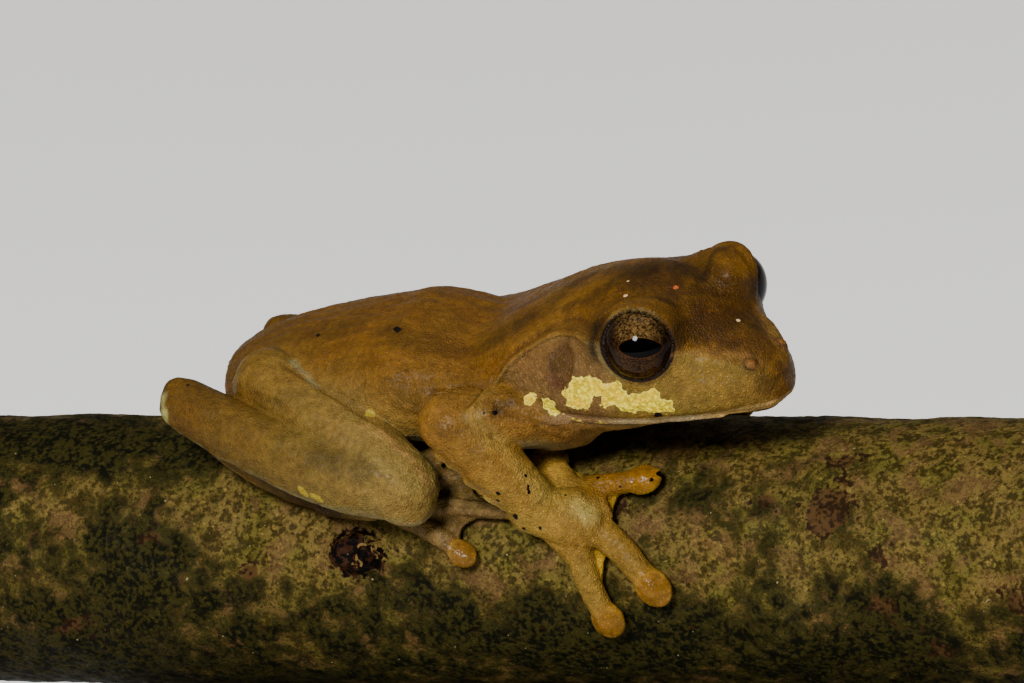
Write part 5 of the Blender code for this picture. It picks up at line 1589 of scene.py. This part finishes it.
def floor_finish():
    f = Finish("studio_floor")
    tone = f.mix(f.patches(0.3, 0.7, 3.0), (0.74, 0.73, 0.71), (0.78, 0.77, 0.75))
    f.set(Base_Color=tone, Roughness=0.9)
    return f.material


def to_row_frame(obj):
    """From millimetres about the crest to metres above the floor."""
    obj.data.transform(Matrix.Translation((0.0, 0.0, CREST_HEIGHT * METRES)) @ Matrix.Scale(METRES, 4))
    obj.data.update()


def perch_heights(x, angle):
    """Radius of the branch with a rough bark relief, for arrays of places."""
    waves = 0.16 * (1 + np.sin(0.23 * x + 1.3 * np.sin(angle))) * 0.5
    waves += 0.12 * (1 + np.sin(0.61 * x + 3.0 * angle + 0.8)) * 0.5
    for (place, turn, height, half_length, half_width), power in ((KNOT, 2.0), (SWELLING, 1.0)):
        away = ((x - place) / half_length) ** 2 + ((angle - turn) * PERCH_RADIUS / half_width) ** 2
        waves -= height * np.exp(-away ** power)
    return PERCH_RADIUS - waves


# Patches of the bark: place along the branch, angle from the crest, half length and half width, and
# for moss how much more or less of it there is
BROWN_PATCHES = [
    (28.2, -46.0, 1.9, 2.0), (32.7, -85.0, 1.5, 0.8), (10.9, -45.0, 0.5, 0.7), (17.4, -9.0, 0.9, 0.6),
    (28.8, -22.0, 0.8, 0.5), (22.8, -42.0, 0.5, 0.5), (32.0, -65.0, 0.7, 0.35), (42.9, -84.0, 0.6, 1.0),
    (36.6, -108.0, 0.8, 0.7), (-19.3, -73.0, 0.5, 0.6), (-35.0, -100.0, 1.0, 0.6), (-28.0, -60.0, 0.8, 0.5),
]
MOSS_PATCHES = [
    (-39.0, -5.0, 8.0, 3.0, 0.6), (-25.0, -14.0, 9.0, 2.6, 0.6), (-28.0, -72.0, 4.5, 2.6, 0.5),
    (-36.0, -42.0, 5.0, 2.5, -0.3), (-19.0, -52.0, 5.0, 2.5, -0.35), (-15.0, -68.0, 3.0, 2.0, -0.3),
    (1.5, -66.0, 4.0, 2.2, -0.5), (-5.0, -85.0, 4.0, 2.4, 0.5), (6.0, -100.0, 6.0, 2.6, 0.6),
    (12.5, -16.0, 2.5, 1.6, -0.4), (17.5, -38.0, 2.5, 2.0, 0.35), (18.0, -68.0, 3.2, 2.2, -0.5),
    (22.5, -44.0, 2.2, 1.6, 0.35), (21.0, -9.0, 2.5, 1.5, -0.3), (14.0, -100.0, 4.0, 2.4, 0.4),
    (26.0, -112.0, 5.0, 2.4, 0.6), (37.0, -10.0, 6.0, 3.0, -0.4), (38.0, -45.0, 6.0, 4.0, -0.4),
    (42.0, -70.0, 4.0, 3.0, -0.3), (29.0, -20.0, 3.0, 1.6, 0.2), (33.0, -104.0, 4.0, 2.0, 0.4),
]


def across_bark(angles, angle):
    """Distance round the bark between angles in degrees."""
    return (angles - angle) * math.pi / 180 * PERCH_RADIUS


def bark_relief(x, angle, core):
    """Fine relief of the bark, with its knot, its scar and the seam across it."""
    relief = 0.10 * noise_at(core * np.array([0.55, 1.0, 1.0]), 0.35, 31.0)
    relief += 0.07 * noise_at(core, 1.1, 32.0)
    relief += 0.04 * noise_at(core, 2.6, 33.0)
    place, side_turn, _, half_length, half_width = KNOT
    away = np.hypot((x - place) / half_length, (angle - side_turn) * PERCH_RADIUS / half_width)
    knot = rising(1.25 - away, 0.0, 0.3)
    scab = noise_at(core * np.array([1.0, 1.6, 1.6]), 0.9, 34.0)
    relief = relief * (1 - 0.5 * knot) + knot * (0.45 * scab - 0.35 * bell(away, 0.45))
    relief -= 0.25 * bell(away - 1.22, 0.12)
    degrees = np.degrees(angle)
    scar = np.hypot((x - 23.8) / 2.9, (degrees + 99.0) / 13.0)
    ripple = np.sin(3.4 * scar * 3.0 + 2.0 * noise_at(core, 0.5, 35.0))
    relief += rising(1.1 - scar, 0.0, 0.3) * 0.12 * ripple
    relief -= 0.22 * bell(scar - 1.12, 0.1) * rising(-degrees, 94.0, 102.0)
    seam = x - np.interp(degrees, [-112.0, -100.0, -85.0, -68.0, -56.0], [-17.4, -18.4, -18.7, -18.2, -17.2])
    seam_part = within(degrees, -125.0, -112.0, -62.0, -54.0)
    relief += seam_part * (0.14 * bell(seam + 0.3, 0.3) - 0.22 * bell(seam - 0.05, 0.16))
    return relief


def bark_masks(mesh, points):
    """Stores where the bark is brown, knotted or green; the green grows towards the underside, partly as
    painted shade.
    """
    angles = np.degrees(np.arctan2(points[:, 1], points[:, 2] + PERCH_RADIUS))
    brown = np.full(len(points), 3.0)
    for place, angle, length, width in BROWN_PATCHES:
        across = across_bark(angles, angle)
        away = (np.hypot((points[:, 0] - place) / length, across / width) - 1.0) * min(length, width)
        brown = np.minimum(brown, away)
    put_value(mesh, "brown", brown)
    across = across_bark(angles, math.degrees(KNOT[1]))
    put_value(mesh, "knot", np.hypot((points[:, 0] - KNOT[0]) / KNOT[3], across / KNOT[4]) - 1.12)
    # Greener and darker towards the underside on both sides of the branch: partly moss, partly painted
    # shade.
    moss = 0.30 + 0.46 * rising(-angles, 60.0, 108.0) + 0.3 * rising(angles, 20.0, 120.0)
    moss += 0.3 * rising(-points[:, 0], 17.0, 36.0)
    moss += 0.32 * noise_at(points, 0.17, 41.0) + 0.22 * noise_at(points, 0.4, 42.0)
    for place, angle, length, width, amount in MOSS_PATCHES:
        across = across_bark(angles, angle)
        moss += amount * np.exp(-((points[:, 0] - place) / length) ** 2 - (across / width) ** 2)
    put_value(mesh, "moss", moss)


def perch_body():
    """The branch as one fine closed mesh, with its bark's relief."""
    half = PERCH_LENGTH / 2
    sides = PERCH_SIDES
    along = np.concatenate([[-half, -half + 0.15, -half + 0.4],
                            np.arange(-half + PERCH_BEVEL, half, PERCH_STEP)[:-2],
                            [half - PERCH_BEVEL, half - 0.4, half - 0.15, half]])
    turn = 2 * np.pi * np.arange(sides) / sides
    turn = np.where(turn > np.pi, turn - 2 * np.pi, turn)
    x, angle = np.meshgrid(along, turn, indexing="ij")
    radius = perch_heights(x, angle)
    x, angle, radius = x.ravel(), angle.ravel(), radius.ravel()
    core = np.stack([x, radius * np.sin(angle), radius * np.cos(angle) - PERCH_RADIUS], axis=1)
    relief = bark_relief(x, angle, core)
    edge = np.minimum(half - x, half + x)
    inward = PERCH_BEVEL - np.minimum(edge, PERCH_BEVEL)
    bevel = PERCH_BEVEL - np.sqrt(np.clip(PERCH_BEVEL ** 2 - inward ** 2, 0.0, None))
    reach = radius + np.clip(relief, BARK_DEEPEST, BARK_HIGHEST) - bevel
    body = np.stack([x, reach * np.sin(angle), reach * np.cos(angle) - PERCH_RADIUS], axis=1)
    rings = len(along)
    grid = np.arange(rings * sides).reshape(rings, sides)
    faces = []
    for i in range(rings - 1):
        a, b = grid[i], grid[i + 1]
        faces += list(zip(a.tolist(), np.roll(a, -1).tolist(), np.roll(b, -1).tolist(), b.tolist()))
    layers = [body]
    count = len(body)
    side_faces = len(faces)
    for ring, place in ((grid[0], -half), (grid[-1], half)):
        outer = ring.tolist()
        start = body[ring]
        for share in (0.9, 0.7, 0.5, 0.3, 0.12):
            inner = start * np.array([1.0, share, share]) - np.array([0.0, 0.0, PERCH_RADIUS * (1 - share)])
            inner[:, 0] = place
            layers.append(inner)
            row = list(range(count, count + sides))
            faces += [(outer[j], outer[(j + 1) % sides], row[(j + 1) % sides], row[j]) for j in range(sides)]
            outer = row
            count += sides
        layers.append(np.array([[place, 0.0, -PERCH_RADIUS]]))
        faces += [(outer[j], outer[(j + 1) % sides], count) for j in range(sides)]
        count += 1
    points = np.vstack(layers)
    obj = mesh_object("branch", points, faces)
    bark_masks(obj.data, points)
    obj.data.materials.append(bark_finish())
    obj.data.materials.append(end_grain_finish())
    for face in obj.data.polygons[side_faces:]:
        face.material_index = 1
    return obj


def eyeball(name, side):
    """An eye with a slightly raised cornea; its own axes run to the snout, up and out."""
    gaze = head_direction(GAZE, side)
    level = (FORWARD - gaze * FORWARD.dot(gaze)).normalized()
    rise = (UPWARD - gaze * UPWARD.dot(gaze)).normalized()
    rise = (rise - level * rise.dot(level)).normalized()
    tilt = math.radians(PUPIL_TILT)
    ahead = level * math.cos(tilt) + rise * math.sin(tilt)
    rise = gaze.cross(ahead)
    if rise.dot(UPWARD) < 0:
        rise = -rise
    sides = 96
    rings = []
    for turn in np.linspace(1.5, 178.5, 90):
        reach = EYE_RADIUS - 0.05 + 0.08 * math.exp(-(turn / 38.0) ** 2)
        width, out = reach * math.sin(math.radians(turn)), reach * math.cos(math.radians(turn))
        around = [2 * math.pi * j / sides for j in range(sides)]
        rings.append([(width * math.cos(a), width * math.sin(a), out) for a in around])
    obj = loft(name, rings)
    obj.data.transform(Matrix.Scale(METRES, 4))
    turn = Matrix((ahead, rise, gaze)).transposed().to_4x4()
    centre = (eye_centre(side) + Vector((0.0, 0.0, CREST_HEIGHT))) * METRES
    obj.matrix_world = Matrix.Translation(centre) @ turn
    return obj


def smooth_shaded(obj):
    obj.data.polygons.foreach_set("use_smooth", [True] * len(obj.data.polygons))
    obj.data.update()


def studio():
    """Plain pale floor, soft light and the camera of the photograph's view."""
    bpy.ops.mesh.primitive_grid_add(x_subdivisions=4, y_subdivisions=4, size=6.0, location=(0, 0, -0.0002))
    floor = bpy.context.object
    floor.name = "studio_floor"
    floor.data.materials.append(floor_finish())
    world = bpy.data.worlds.new("studio")
    bpy.context.scene.world = world
    world.use_nodes = True
    sky = world.node_tree.nodes["Background"].inputs
    sky["Color"].default_value = (1.0, 0.98, 0.95, 1.0)
    sky["Strength"].default_value = 0.22
    middle = Vector((0.0, 0.0, CREST_HEIGHT))
    # Name, direction, distance and size in metres, and power in watts
    lamps = (
        ("key_light", -VIEW_RIGHT * 0.34 + VIEW_UP * 0.31 + VIEW_TOWARD * 0.89, 0.9, 0.24, 17.8),
        ("top_light", VIEW_UP * 0.95 + VIEW_TOWARD * 0.1, 1.0, 0.8, 2.0),
    )
    for name, direction, distance, size, power in lamps:
        data = bpy.data.lights.new(name, "AREA")
        data.shape = "DISK"
        data.size = size
        data.energy = power
        lamp = new_object(name, data)
        direction = direction.normalized()
        lamp.location = middle * METRES + direction * distance
        lamp.rotation_mode = "QUATERNION"
        lamp.rotation_quaternion = (-direction).to_track_quat("-Z", "Y")
    data = bpy.data.cameras.new("camera")
    data.lens = data.sensor_width * VIEW_DISTANCE / (PHOTO_WIDTH / PIXELS_PER_MM)
    data.clip_start = 0.01
    data.clip_end = 50.0
    camera = new_object("camera", data)
    centre = middle + VIEW_UP * ((CREST_PIXEL_Y - PHOTO_HEIGHT / 2) / PIXELS_PER_MM)
    place = (centre + VIEW_TOWARD * VIEW_DISTANCE) * METRES
    turn = Matrix((VIEW_RIGHT, VIEW_UP, VIEW_TOWARD)).transposed().to_4x4()
    camera.matrix_world = Matrix.Translation(place) @ turn
    bpy.context.scene.camera = camera


def frog_body():
    obj = raw_skin()
    soften(obj)
    refine_head(obj)
    skin = Surface(obj)
    carve_head(skin)
    carve_body(skin)
    carve_digits(skin)
    open_lids(skin)
    rest_on_bark(skin)
    dress_skin(skin)
    obj.data.materials.append(skin_finish())
    return obj


studio()

frog = frog_body()
frog.name = "frog_skin"
to_row_frame(frog)
smooth_shaded(frog)
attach(frog, "root")
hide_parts(*FLESH)

wet = eye_finish()
for side, node in ((-1.0, "right_eye"), (1.0, "left_eye")):
    eye = eyeball(node + "ball", side)
    eye.data.materials.append(wet)
    smooth_shaded(eye)
    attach(eye, "root")
    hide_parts(node)

branch = perch_body()
to_row_frame(branch)
smooth_shaded(branch)
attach(branch, "root")
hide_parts("perch")

black = stand_finish()
for node in ("stand_base", "stand_rod_1", "stand_rod_2"):
    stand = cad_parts[node]
    stand.data.materials.clear()
    stand.data.materials.append(black)
